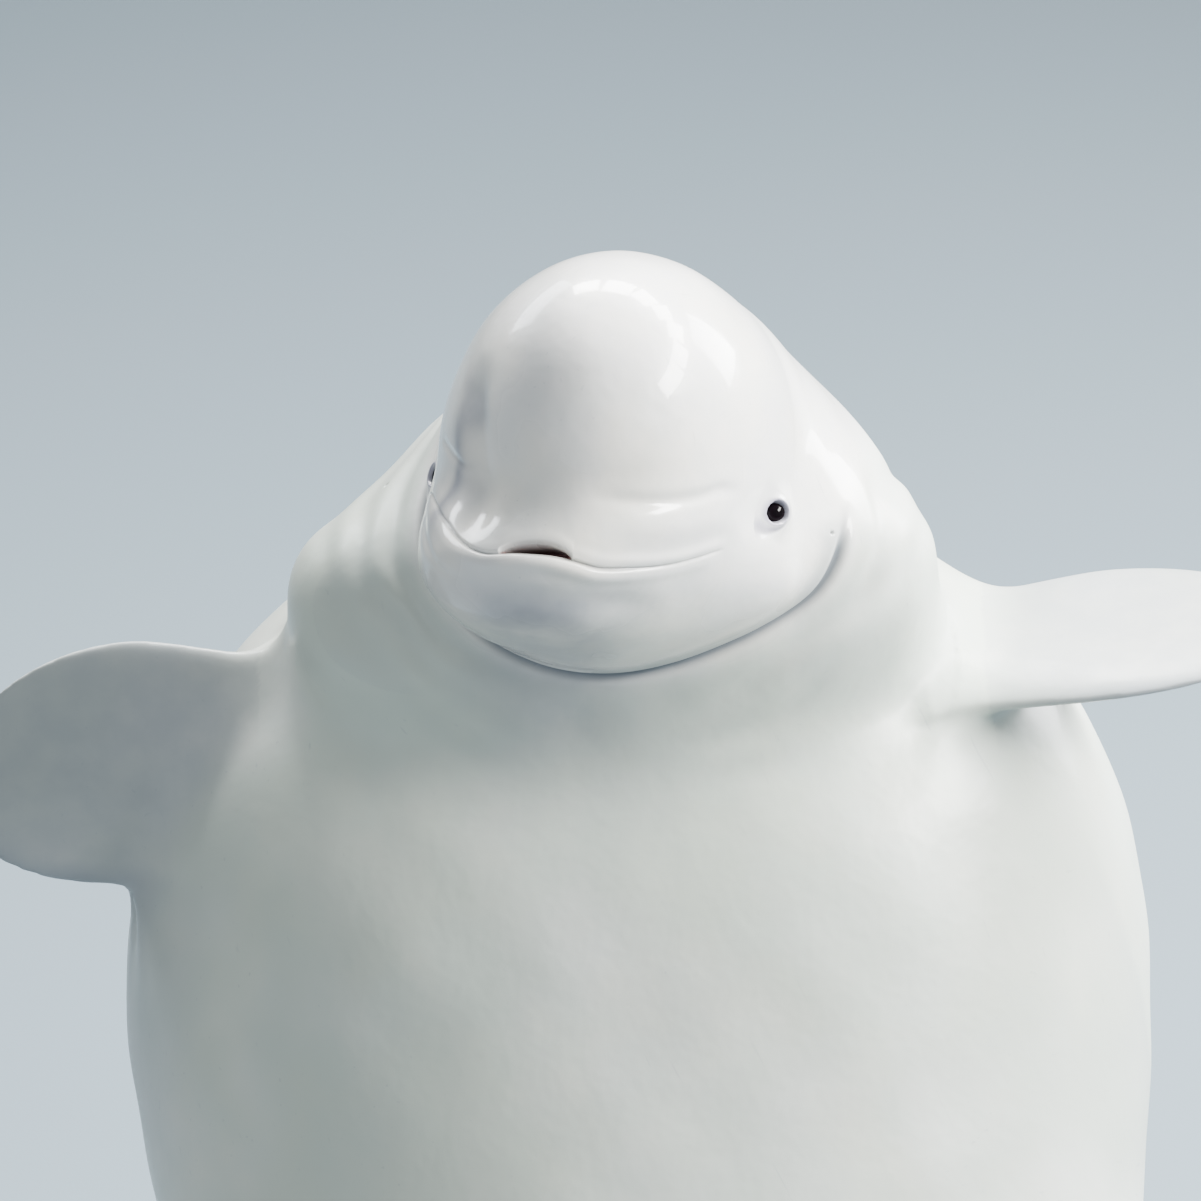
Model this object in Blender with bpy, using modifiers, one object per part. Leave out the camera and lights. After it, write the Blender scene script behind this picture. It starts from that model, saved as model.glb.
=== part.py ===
"""Beluga whale, life size, at rest on a display stand.

The whale leans back with its belly towards -Y and its head bent forward over
the chest. X is across the body, the whale's left at +X. Z is up and the floor
is z = 0. The outer form is one smooth field made from a bent trunk, a neck and
a head of rounded masses. Rings cast on that field give the solids, and planes
through the field part them.
"""

import math

import bmesh
import bpy
import numpy as np

# Clearances
GAP = 0.0004  # between neighbouring pieces, metres
HALF_GAP = GAP / 2

# Body axis: s runs from the notch of the flukes (0) to the base of the neck
AXIS_LENGTH = 3.75
TAIL_ANGLE = 5.0  # lift of the axis above the floor at the flukes, degrees
LEAN_ANGLE = 65.0  # further lift gained by the base of the neck
LEAN_POWER = 1.55
TAIL_POINT = (-2.02, 0.335)  # y and z of the notch of the flukes
AXIS_STEPS = 240
SHOULDER_PLACE = 3.26  # where the trunk starts to close towards the neck
SHOULDER_TAPER = 0.54  # length of that rounded front end
TAIL_TAPER = 0.10
TAPER_POWER = 2.2

# Trunk stations: place along the axis, half width, height to back and to belly
TRUNK = (
    (0.00, 0.030, 0.016, 0.016),
    (0.18, 0.052, 0.034, 0.034),
    (0.42, 0.070, 0.088, 0.080),
    (0.75, 0.100, 0.138, 0.128),
    (1.15, 0.168, 0.195, 0.185),
    (1.60, 0.262, 0.255, 0.255),
    (2.10, 0.366, 0.310, 0.322),
    (2.60, 0.448, 0.342, 0.362),
    (3.00, 0.515, 0.352, 0.376),
    (3.26, 0.543, 0.352, 0.376),
)
TRUNK_POWER = 2.15
RIDGE_PLACE = 1.72  # low ridge along the back
RIDGE_LENGTH = 0.34
RIDGE_HEIGHT = 0.022
RIDGE_WIDTH = 0.055

# Head: its own axes are forward, left and up, with the origin between the eyes
HEAD_OFFSET = (0.0, -0.300, 0.240)  # from the base of the neck
HEAD_LIFT = 33.0  # degrees above the horizon, facing -Y
HEAD_YAW = 17.0  # towards the whale's right
HEAD_ROLL = 10.0  # crown towards the whale's left
EYE_RADIUS = 0.0175
EYE_DEPTH = 0.0145  # of an eye's middle under the skin

# Masses of the head: middle, half sizes and blend
CRANIUM = ((-0.050, 0.001, 0.030), (0.240, 0.182, 0.205))
NAPE = ((-0.200, 0.020, -0.022), (0.250, 0.167, 0.148))
MELON = ((0.078, 0.021, 0.072), (0.180, 0.143, 0.170))
FACE = ((0.050, -0.008, -0.069), (0.223, 0.146, 0.087))
THROAT = ((-0.080, 0.011, -0.055), (0.200, 0.187, 0.079))
MELON_BLEND = 0.060
FACE_BLEND = 0.050
KEEL = 1.2  # rise of the face towards its sides, per metre
SLANT = 0.14  # and from the whale's right to its left

# Neck: masses placed from the base of the neck, turned with the axis there
NECK = ((0.014, -0.150, 0.030), (0.238, 0.210, 0.200))
NECK_ROLL = ((0.0, -0.207, -0.010), (0.335, 0.185, 0.150))
NECK_ANGLE = 70.0
NECK_BLEND = 0.105
ROLL_BLEND = 0.070
CHIN_BLEND = 0.026  # tight under the jaw
NAPE_BLEND = 0.120  # wide over the nape
CHIN_HEIGHT = (-0.120, 0.000)  # head heights between which it changes
CHEEK_PLACE = (0.020, -0.130)  # and places from the eye back to the nape
BENT_SIDE = (-0.200, 0.160)  # tighter on the side the head turns to
BENT_SHARE = 0.45

# Rings cast on the field
AROUND = 44
CAST_REACH = 0.76
CAST_STEP = 0.0125
CAST_HALVINGS = 26
CUTTER_LEVEL = 0.0006  # the body swollen a little, to cut what meets it

# Rings of the neck turn about a pivot in front of the throat
PIVOT = (0.0, -0.470, 0.045)  # from the base of the neck
NECK_STEPS = 13
TRUNK_CUT = 0.30  # shares of that turn at which trunk, neck and head part
HEAD_CUT = 0.75
CAP_ANGLES = (78, 66, 54, 43, 33, 24, 16, 9, 4)  # rings of the face, degrees
TRUNK_STEPS = 15
RING_CROWDING = 1.45  # rings of the trunk closer towards the shoulders
TRUNK_REAR = 1.25
STOCK_STEPS = 8
STOCK_REAR = 0.15

# Mouth line seen from the side: forward and up, from the front to the corner
MOUTH = (
    (0.360, -0.052),
    (0.272, -0.052),
    (0.255, -0.056),
    (0.230, -0.060),
    (0.200, -0.058),
    (0.160, -0.050),
    (0.120, -0.041),
    (0.062, -0.030),
)
JAW_BACK = ((0.000, -0.150), (-0.010, -0.330), (0.360, -0.330))
JAW_BLOCK_WIDTH = 0.50

# Flippers: each lies along its own direction from the shoulder
FLIPPER_ROOT = 0.330  # half distance between the hidden roots
FLIPPER_LENGTH = 0.368
FLIPPER_STEPS = 13
FLIPPER_AROUND = 24
FLIPPER_RISE = 4.5  # towards the head, degrees
FLIPPER_FORWARD = 6.0  # towards the chin, degrees
FLIPPER_LEFT = (3.615, 0.130, -4.0)  # place on the axis, height, pitch of the blade
FLIPPER_RIGHT = (3.545, 0.110, 72.0)
FLIPPER_CHORD = 0.262
FLIPPER_THICK = 0.050
FLIPPER_EDGE = 0.002  # least half thickness
FLIPPER_NARROW = 0.86  # chord at the root against the widest chord
FLIPPER_WIDEST = 0.55  # share of the length
FLIPPER_ROUND = 0.45  # share of the length where the tip starts to round
FLIPPER_SWEEP = 0.022  # how far the tip trails

# Flukes
FLUKE_SPAN = 0.520  # half span
FLUKE_FRONT = 0.400
FLUKE_STEPS = 14
FLUKE_AROUND = 20
FLUKE_LOBE = 0.095
FLUKE_THICK = 0.046
FLUKE_EDGE = 0.007
FLUKE_DIP = 0.018  # lift of the tips towards the belly
FLUKE_TIP = 0.030  # place of the tips along the axis

# Stand
BASE_SIZE = (0.90, 2.10, 0.030)
BASE_CORNER = 0.120
BASE_EDGE = 0.004
ROD_RADIUS = 0.030
ROD_FRONT = 0.42  # y of each rod
ROD_REAR = -0.62
ROD_AROUND = 28
COLLAR_RADIUS = 0.075
COLLAR_HEIGHT = 0.014
COLLAR_EDGE = 0.003
CORNER_STEPS = 6

SHARP_ANGLE = 40.0  # edges above this stay crisp, degrees

# Finish of each piece: colour, roughness, metallic
FINISHES = {
    "whale_skin": ((0.83, 0.85, 0.82, 1.0), 0.24, 0.0),
    "eye_dark": ((0.020, 0.014, 0.012, 1.0), 0.06, 0.0),
    "stand_paint": ((0.090, 0.100, 0.110, 1.0), 0.42, 0.0),
    "stand_steel": ((0.560, 0.570, 0.580, 1.0), 0.28, 1.0),
}


def smooth_min(a, b, blend):
    """The lower of two fields, rounded where they cross."""
    h = np.clip(0.5 + 0.5 * (b - a) / blend, 0.0, 1.0)
    return b * (1.0 - h) + a * h - blend * h * (1.0 - h)


def mass(points, middle, half_sizes, power=2.0):
    """Distance-like field of a rounded mass, zero on its surface."""
    d = points - np.array(middle)
    q = (np.abs(d / np.array(half_sizes)) ** power).sum(axis=1) ** (1.0 / power)
    q = np.maximum(q, 1e-6)
    return np.linalg.norm(d, axis=1) * (1.0 - 1.0 / q) - 1e-9


def axis_table():
    """Samples of the body axis: s, angle, y and z."""
    s = np.linspace(-0.4, AXIS_LENGTH + 0.4, AXIS_STEPS)
    along = np.clip(s, 0.0, None) / AXIS_LENGTH
    angle = np.radians(TAIL_ANGLE + LEAN_ANGLE * along**LEAN_POWER)
    step = s[1] - s[0]
    y = np.cumsum(np.cos(angle)) * step
    z = np.cumsum(np.sin(angle)) * step
    y += TAIL_POINT[0] - np.interp(0.0, s, y)
    z += TAIL_POINT[1] - np.interp(0.0, s, z)
    return s, angle, y, z


AXIS = axis_table()


def axis_at(s):
    """y, z and angle of the body axis at s."""
    table, angle, y, z = AXIS
    return np.interp(s, table, y), np.interp(s, table, z), np.interp(s, table, angle)


def axis_place(points):
    """Place along the axis and height towards the belly, for each point."""
    y, z = points[:, 1], points[:, 2]
    coarse = np.linspace(-0.3, AXIS_LENGTH + 0.3, 40)
    cy, cz, _ = axis_at(coarse)
    gap = (y[:, None] - cy) ** 2 + (z[:, None] - cz) ** 2
    s = coarse[gap.argmin(axis=1)]
    for _ in range(5):
        ay, az, angle = axis_at(s)
        along = (y - ay) * np.cos(angle) + (z - az) * np.sin(angle)
        height = -(y - ay) * np.sin(angle) + (z - az) * np.cos(angle)
        bend = (axis_at(s + 0.01)[2] - axis_at(s - 0.01)[2]) / 0.02
        s = s + along / np.maximum(1.0 - bend * height, 0.35)
        s = np.clip(s, -0.39, AXIS_LENGTH + 0.39)
    ay, az, angle = axis_at(s)
    height = -(y - ay) * np.sin(angle) + (z - az) * np.cos(angle)
    return s, height


def smooth_table(s, places, values):
    """Cubic curve through stations, flat beyond the ends."""
    places, values = np.array(places), np.array(values)
    slope = np.gradient(values, places)
    slope[[0, -1]] = 0.0
    s = np.clip(s, places[0], places[-1])
    i = np.clip(np.searchsorted(places, s) - 1, 0, len(places) - 2)
    width = places[i + 1] - places[i]
    t = (s - places[i]) / width
    a, b = values[i], values[i + 1]
    return (
        a * (2 * t**3 - 3 * t**2 + 1)
        + b * (3 * t**2 - 2 * t**3)
        + slope[i] * width * (t**3 - 2 * t**2 + t)
        + slope[i + 1] * width * (t**3 - t**2)
    )


def trunk_field(points):
    """Field of the bent trunk, from the flukes to the base of the neck."""
    s, height = axis_place(points)
    places, wide, back, belly = zip(*TRUNK)
    half = smooth_table(s, places, wide)
    rise = np.where(
        height > 0, smooth_table(s, places, belly), smooth_table(s, places, back)
    )
    x = points[:, 0]
    front = np.maximum(s - SHOULDER_PLACE, 0.0) / SHOULDER_TAPER
    beyond = front + np.maximum(-s, 0.0) / TAIL_TAPER
    q = (
        np.abs(x / half) ** TRUNK_POWER
        + np.abs(height / rise) ** TRUNK_POWER
        + beyond**TAPER_POWER
    ) ** (1.0 / TRUNK_POWER)
    q = np.maximum(q, 1e-6)
    size = np.sqrt(x**2 + height**2 + (SHOULDER_TAPER * front) ** 2)
    ridge = RIDGE_HEIGHT * np.exp(
        -(((s - RIDGE_PLACE) / RIDGE_LENGTH) ** 2) - (x / RIDGE_WIDTH) ** 2
    )
    return size * (1.0 - 1.0 / q) - np.where(height < 0, ridge, 0.0)


def turn(axis, degrees):
    """Rotation matrix about a world axis."""
    c, s = math.cos(math.radians(degrees)), math.sin(math.radians(degrees))
    x, y, z = axis
    cross = np.array([[0, -z, y], [z, 0, -x], [-y, x, 0]])
    return np.eye(3) * c + s * cross + (1 - c) * np.outer(axis, axis)


def base_of_neck():
    """World place of the front end of the body axis."""
    y, z, _ = axis_at(AXIS_LENGTH)
    return np.array([0.0, float(y), float(z)])


def head_frame():
    """World origin of the head and its axes (forward, left, up) as columns."""
    lift = math.radians(HEAD_LIFT)
    forward = np.array([0.0, -math.cos(lift), math.sin(lift)])
    up = np.array([0.0, math.sin(lift), math.cos(lift)])
    left = np.array([1.0, 0.0, 0.0])
    axes = turn(up, -HEAD_YAW) @ np.column_stack([forward, left, up])
    axes = turn(axes[:, 0], -HEAD_ROLL) @ axes
    return base_of_neck() + np.array(HEAD_OFFSET), axes


HEAD_ORIGIN, HEAD_AXES = head_frame()


def head_place(points):
    """Points in the head's own axes."""
    return (points - HEAD_ORIGIN) @ HEAD_AXES


def head_field(points):
    """Field of the head: cranium, melon, face, throat and nape."""
    p = head_place(points)
    upper = smooth_min(mass(p, *CRANIUM), mass(p, *MELON, 2.1), MELON_BLEND)
    rise = KEEL * p[:, 1] ** 2 + SLANT * p[:, 1]
    keeled = p - np.outer(rise, (0.0, 0.0, 1.0))
    lower = smooth_min(mass(keeled, *FACE, 2.2), mass(p, *THROAT, 2.2), FACE_BLEND)
    front = smooth_min(upper, lower, MELON_BLEND)
    return smooth_min(front, mass(p, *NAPE, 2.2), FACE_BLEND)


def neck_field(points):
    """Field of the neck and the fold of fat below it."""
    p = (points - base_of_neck()) @ turn(np.array([1.0, 0, 0]), NECK_ANGLE - 90.0)
    neck = mass(p, *NECK, 2.2)
    roll = mass(p, *NECK_ROLL, 2.3)
    return smooth_min(neck, roll, ROLL_BLEND)


def ramp(value, ends):
    """Smooth step from 0 at the first end to 1 at the second."""
    t = np.clip((value - ends[0]) / (ends[1] - ends[0]), 0.0, 1.0)
    return t * t * (3.0 - 2.0 * t)


def body_field(points):
    """Field of the whole body without flippers and flukes."""
    body = smooth_min(trunk_field(points), neck_field(points), NECK_BLEND)
    ahead, left, up = head_place(points).T
    wide = ramp(up, CHIN_HEIGHT) * ramp(ahead, CHEEK_PLACE)
    wide *= BENT_SHARE + (1.0 - BENT_SHARE) * ramp(left, BENT_SIDE)
    blend = CHIN_BLEND + (NAPE_BLEND - CHIN_BLEND) * wide
    return smooth_min(body, head_field(points), blend)


def cast(origins, directions, field=body_field, level=0.0):
    """First points of the field's surface along rays that start inside it."""
    reach = np.zeros(len(origins))
    found = np.zeros(len(origins), bool)
    for step in range(1, int(CAST_REACH / CAST_STEP) + 1):
        if found.all():
            break
        todo = np.flatnonzero(~found)
        far = step * CAST_STEP
        out = field(origins[todo] + far * directions[todo]) > level
        found[todo[out]] = True
        reach[todo[out]] = far
    low, high = np.maximum(reach - CAST_STEP, 0.0), reach.copy()
    for _ in range(CAST_HALVINGS):
        middle = 0.5 * (low + high)
        out = field(origins + middle[:, None] * directions) > level
        high = np.where(out, middle, high)
        low = np.where(out, low, middle)
    return origins + (0.5 * (low + high))[:, None] * directions


def spokes(origin, frame, lean=90.0):
    """Rays round a ring: across and belly are the frame's first two columns."""
    turns = np.arange(AROUND) * 2.0 * math.pi / AROUND
    across, belly, ahead = frame.T
    flat = np.cos(turns)[:, None] * across + np.sin(turns)[:, None] * belly
    c, s = math.cos(math.radians(lean)), math.sin(math.radians(lean))
    return np.tile(origin, (AROUND, 1)), s * flat + c * ahead


def axis_ring(s, shift=0.0):
    """Origin and frame of a ring of the trunk, square to the axis."""
    y, z, angle = (float(v) for v in axis_at(s))
    ahead = np.array([0.0, math.cos(angle), math.sin(angle)])
    belly = np.array([0.0, -math.sin(angle), math.cos(angle)])
    frame = np.column_stack([[1.0, 0.0, 0.0], belly, ahead])
    return np.array([0.0, y, z]) + shift * ahead, frame


def neck_start():
    """Place on the axis of the ring whose plane holds the pivot."""
    pivot = base_of_neck() + np.array(PIVOT)
    return float(axis_place(pivot[None, :])[0][0])


def between(first, second, share):
    """Frame part of the way from one frame to another."""
    change = second @ first.T
    angle = math.degrees(math.acos(np.clip((np.trace(change) - 1.0) / 2.0, -1, 1)))
    axis = np.array(
        [
            change[2, 1] - change[1, 2],
            change[0, 2] - change[2, 0],
            change[1, 0] - change[0, 1],
        ]
    )
    return turn(axis / np.linalg.norm(axis), angle * share) @ first


def neck_ring(share, shift=0.0):
    """Origin and frame of a ring of the neck, from the trunk (0) to the face (1)."""
    start, first = axis_ring(neck_start())
    pivot = base_of_neck() + np.array(PIVOT)
    forward, left, up = HEAD_AXES.T
    last = np.column_stack([left, -up, forward])
    local = (pivot - HEAD_ORIGIN) @ HEAD_AXES
    end = HEAD_ORIGIN + local[0] * forward
    low_end = end + local[2] * up
    frame = between(first, last, share)
    reach = (1 - share) * np.linalg.norm(pivot - start) + share * abs(local[2])
    middle = (1 - share) * pivot + share * low_end - reach * frame[:, 1]
    return middle + shift * frame[:, 2], frame


def ring_points(rings, level=0.0):
    """Rings of surface points, cast together."""
    rays = [spokes(*ring) for ring in rings]
    origins = np.concatenate([ray[0] for ray in rays])
    directions = np.concatenate([ray[1] for ray in rays])
    return cast(origins, directions, level=level).reshape(len(rings), AROUND, 3)


def stock_rings():
    """Rings of the tail stock, tail first."""
    places = np.linspace(STOCK_REAR, TRUNK_REAR, STOCK_STEPS + 1)
    rings = [axis_ring(s) for s in places[:-1]]
    return rings + [axis_ring(places[-1], -HALF_GAP)]


def trunk_rings():
    """Rings of the trunk, tail first."""
    shares = np.arange(TRUNK_STEPS + 1) / TRUNK_STEPS
    shares = 1.0 - (1.0 - shares) ** RING_CROWDING
    places = TRUNK_REAR + (neck_start() - TRUNK_REAR) * shares
    rings = [axis_ring(places[0], HALF_GAP)]
    rings += [axis_ring(s) for s in places[1:]]
    rings += turned_rings(0.0, TRUNK_CUT)
    return rings + [neck_ring(TRUNK_CUT, -HALF_GAP)]


def turned_rings(low, high):
    """Rings strictly between two shares of the turn of the neck."""
    shares = np.arange(NECK_STEPS + 1) / NECK_STEPS
    return [neck_ring(t) for t in shares if low + 0.01 < t < high - 0.01]


def neck_rings():
    """Rings of the neck, from the shoulders up to the nape."""
    rings = [neck_ring(TRUNK_CUT, HALF_GAP)] + turned_rings(TRUNK_CUT, HEAD_CUT)
    return rings + [neck_ring(HEAD_CUT, -HALF_GAP)]


def head_rings():
    """Rings of the head, from the nape to the tip of the face."""
    rings = [neck_ring(HEAD_CUT, HALF_GAP)] + turned_rings(HEAD_CUT, 1.0)
    origin, frame = neck_ring(1.0)
    rings.append((origin, frame))
    return rings + [(origin, frame, lean) for lean in CAP_ANGLES]


def face_tip(level=0.0):
    """The surface point straight ahead of the face."""
    origin, frame = neck_ring(1.0)
    return cast(origin[None, :], frame[:, 2][None, :], level=level)[0]


def add_object(name, mesh, finish, collection):
    """Object from a mesh, smooth shaded, in the collection."""
    obj = bpy.data.objects.new(name, mesh)
    collection.objects.link(obj)
    mesh.polygons.foreach_set("use_smooth", [True] * len(mesh.polygons))
    mesh.set_sharp_from_angle(angle=math.radians(SHARP_ANGLE))
    if finish:
        mesh.materials.append(material(finish, name))
    return obj


def material(finish, name):
    """Principled material of a piece."""
    colour, roughness, metallic = FINISHES[finish]
    made = bpy.data.materials.new(f"{finish}_{name}")
    made.use_nodes = True
    shader = made.node_tree.nodes["Principled BSDF"]
    shader.inputs["Base Color"].default_value = colour
    shader.inputs["Roughness"].default_value = roughness
    shader.inputs["Metallic"].default_value = metallic
    made.diffuse_color = colour
    return made


def loft(name, rings, finish, collection, tip=None):
    """Closed solid through rings of points, capped flat or with a tip."""
    bm = bmesh.new()
    rows = [[bm.verts.new(point) for point in ring] for ring in rings]
    around = len(rows[0])
    for low, high in zip(rows, rows[1:]):
        for i in range(around):
            j = (i + 1) % around
            bm.faces.new((low[i], low[j], high[j]))
            bm.faces.new((low[i], high[j], high[i]))
    bm.faces.new(rows[0])
    if tip is None:
        bm.faces.new(rows[-1])
    else:
        top = bm.verts.new(tip)
        for i in range(around):
            bm.faces.new((rows[-1][i], rows[-1][(i + 1) % around], top))
    bmesh.ops.recalc_face_normals(bm, faces=bm.faces)
    mesh = bpy.data.meshes.new(name)
    bm.to_mesh(mesh)
    bm.free()
    return add_object(name, mesh, finish, collection)


def boolean(piece, cutter, operation="DIFFERENCE"):
    """Cuts one object with another."""
    modifier = piece.modifiers.new(cutter.name, "BOOLEAN")
    modifier.operation = operation
    modifier.solver = "EXACT"
    modifier.object = cutter
    return piece


def as_guide(obj):
    """Marks a cutter, which doesn't show."""
    obj.hide_render = True
    obj.display_type = "WIRE"
    return obj


def body_cutter(collection):
    """The whole body a little swollen, in one piece."""
    rings = stock_rings()[:-1] + trunk_rings()[:-1] + neck_rings()[:-1]
    rings += head_rings()
    points = ring_points(rings, CUTTER_LEVEL)
    points[0] -= CUTTER_LEVEL * axis_ring(STOCK_REAR)[1][:, 2]
    tip = face_tip(CUTTER_LEVEL)
    return as_guide(loft("body_cutter", points, None, collection, tip))


def head_point(forward, left, up):
    """World place of a point in the head's own axes."""
    return HEAD_ORIGIN + HEAD_AXES @ np.array([forward, left, up])


def jaw_block(name, clearance, collection):
    """Block below the mouth line, reaching back to the corner of the jaw."""
    profile = [(x, z + clearance) for x, z in MOUTH]
    profile += [(JAW_BACK[0][0] - clearance, JAW_BACK[0][1])]
    profile += [(JAW_BACK[1][0] - clearance, JAW_BACK[1][1]), JAW_BACK[2]]
    sides = []
    for left in (-JAW_BLOCK_WIDTH / 2, JAW_BLOCK_WIDTH / 2):
        sides.append([head_point(x, left, z) for x, z in profile])
    return as_guide(loft(name, sides, None, collection))


def eye_middle(side):
    """Middle of an eyeball, a set depth under the skin."""
    start = head_point(0.0, 0.0, 0.0)
    outward = HEAD_AXES[:, 1] * side
    surface = cast(start[None, :], outward[None, :])[0]
    return surface - outward * EYE_DEPTH


def ball(name, middle, radius, finish, collection, segments=18):
    """Sphere with its poles across the head."""
    bm = bmesh.new()
    bmesh.ops.create_uvsphere(
        bm, u_segments=segments, v_segments=segments // 2, radius=radius
    )
    for vert in bm.verts:
        local = np.array([vert.co.x, -vert.co.z, vert.co.y])
        vert.co = middle + HEAD_AXES @ local
    mesh = bpy.data.meshes.new(name)
    bm.to_mesh(mesh)
    bm.free()
    return add_object(name, mesh, finish, collection)


def flipper_frame(side, place, height, pitch):
    """Root, and the directions along, fore and up of a flipper's blade."""
    origin, frame = axis_ring(place)
    root = origin + frame[:, 1] * height + np.array([side * FLIPPER_ROOT, 0.0, 0.0])
    lift = math.radians(HEAD_LIFT)
    toward = np.array([0.0, -math.cos(lift), math.sin(lift)])
    rise = np.array([0.0, math.sin(lift), math.cos(lift)])
    a, b = math.radians(FLIPPER_RISE), math.radians(FLIPPER_FORWARD)
    along = np.array([side * 1.0, 0.0, 0.0]) + math.tan(a) * rise + math.tan(b) * toward
    along /= np.linalg.norm(along)
    fore = np.array([0.0, math.cos(math.radians(pitch)), math.sin(math.radians(pitch))])
    fore -= along * (fore @ along)
    fore /= np.linalg.norm(fore)
    return root, along, fore, np.cross(along, fore)


def flipper_section(t):
    """Half chord, shift of the middle and half thickness at a share of the length."""
    end = max(0.0, (t - FLIPPER_ROUND) / (1.0 - FLIPPER_ROUND))
    swell = math.sin(math.pi * min(t / FLIPPER_WIDEST, 1.0) / 2.0) ** 2
    swell = FLIPPER_NARROW + (1.0 - FLIPPER_NARROW) * swell
    half = 0.5 * FLIPPER_CHORD * swell * math.sqrt(max(0.0, 1.0 - end**2.4))
    thick = 0.5 * FLIPPER_THICK * (1.0 - 0.62 * t) * math.sqrt(1.0 - end**3.0)
    return half, -FLIPPER_SWEEP * end**1.5, max(thick, FLIPPER_EDGE)


def flipper(name, side, pose, collection, cutter):
    """Broad rounded paddle, cut where it meets the shoulder."""
    root, along, fore, up = flipper_frame(side, *pose)
    turns = np.arange(FLIPPER_AROUND) * 2.0 * math.pi / FLIPPER_AROUND
    shares = 1.0 - (1.0 - np.linspace(0.0, 0.997, FLIPPER_STEPS)) ** 1.5
    rings = []
    for t in shares:
        half, middle, thick = flipper_section(t)
        centre = root + along * t * FLIPPER_LENGTH + fore * middle
        rings.append(
            centre
            + np.cos(turns)[:, None] * fore * half
            + np.sin(turns)[:, None] * up * thick
        )
    made = loft(name, rings, "whale_skin", collection)
    return boolean(made, cutter)


def fluke_section(x):
    """Front and rear edges and half thickness of a fluke at a distance x out."""
    u = x / FLUKE_SPAN
    front = FLUKE_TIP + (FLUKE_FRONT - FLUKE_TIP) * (1.0 - u**1.7) ** 0.95
    rear = FLUKE_TIP * u**3 - FLUKE_LOBE * math.sin(math.pi * u**0.80) ** 0.9
    thick = 0.5 * (FLUKE_EDGE + (FLUKE_THICK - FLUKE_EDGE) * (1.0 - u) ** 1.2)
    return front, rear, thick


def fluke(name, side, collection, cutter):
    """Half of the flukes, from the middle notch to the tip."""
    origin, frame = axis_ring(0.0)
    turns = np.arange(FLUKE_AROUND) * 2.0 * math.pi / FLUKE_AROUND
    shares = 1.0 - (1.0 - np.linspace(0.0, 1.0, FLUKE_STEPS)) ** 1.4
    rings = []
    for share in shares:
        x = HALF_GAP + share * (FLUKE_SPAN * 0.985 - HALF_GAP)
        front, rear, thick = fluke_section(x)
        centre = origin + np.array([side * x, 0.0, 0.0])
        centre += frame[:, 1] * FLUKE_DIP * (x / FLUKE_SPAN) ** 2
        centre += frame[:, 2] * 0.5 * (front + rear)
        rings.append(
            centre
            + np.cos(turns)[:, None] * frame[:, 2] * 0.5 * (front - rear)
            + np.sin(turns)[:, None] * frame[:, 1] * thick
        )
    made = loft(name, rings, "whale_skin", collection)
    return boolean(made, cutter)


def stand_base(collection):
    """Flat plate with rounded corners and broken edges."""
    wide, long, thick = BASE_SIZE
    points = []
    for quarter in range(4):
        cx = (wide / 2 - BASE_CORNER) * (1, -1, -1, 1)[quarter]
        cy = (long / 2 - BASE_CORNER) * (1, 1, -1, -1)[quarter]
        for k in range(CORNER_STEPS + 1):
            a = math.radians(90.0 * (quarter + k / CORNER_STEPS))
            points.append((cx + BASE_CORNER * math.cos(a), cy + BASE_CORNER * math.sin(a)))
    rows = [[(x, y, z) for x, y in points] for z in (0.0, thick)]
    plate = loft("stand_base", rows, "stand_paint", collection)
    bevel = plate.modifiers.new("edges", "BEVEL")
    bevel.width = BASE_EDGE
    bevel.segments = 2
    bevel.limit_method = "ANGLE"
    bevel.angle_limit = math.radians(SHARP_ANGLE)
    return plate


def stand_rod(name, y, collection, cutter):
    """Upright rod with a collar at its foot, its top shaped to the back."""
    foot = BASE_SIZE[2] + GAP
    inside = float(np.interp(y, AXIS[2], AXIS[3])) - foot  # up to the body's axis
    profile = (
        (0.0, COLLAR_RADIUS),
        (COLLAR_HEIGHT - COLLAR_EDGE, COLLAR_RADIUS),
        (COLLAR_HEIGHT, COLLAR_RADIUS - COLLAR_EDGE),
        (COLLAR_HEIGHT, ROD_RADIUS),
        (inside, ROD_RADIUS),
    )
    turns = np.arange(ROD_AROUND) * 2.0 * math.pi / ROD_AROUND
    rings = []
    for height, radius in profile:
        ring = [(radius * math.cos(a), y + radius * math.sin(a), foot + height) for a in turns]
        rings.append(ring)
    rod = loft(name, rings, "stand_steel", collection)
    return boolean(rod, cutter)


def collections():
    """The object's own collection and one for its cutters."""
    made = []
    for name in ("beluga_whale", "cutters"):
        group = bpy.data.collections.new(name)
        bpy.context.scene.collection.children.link(group)
        made.append(group)
    return made


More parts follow.
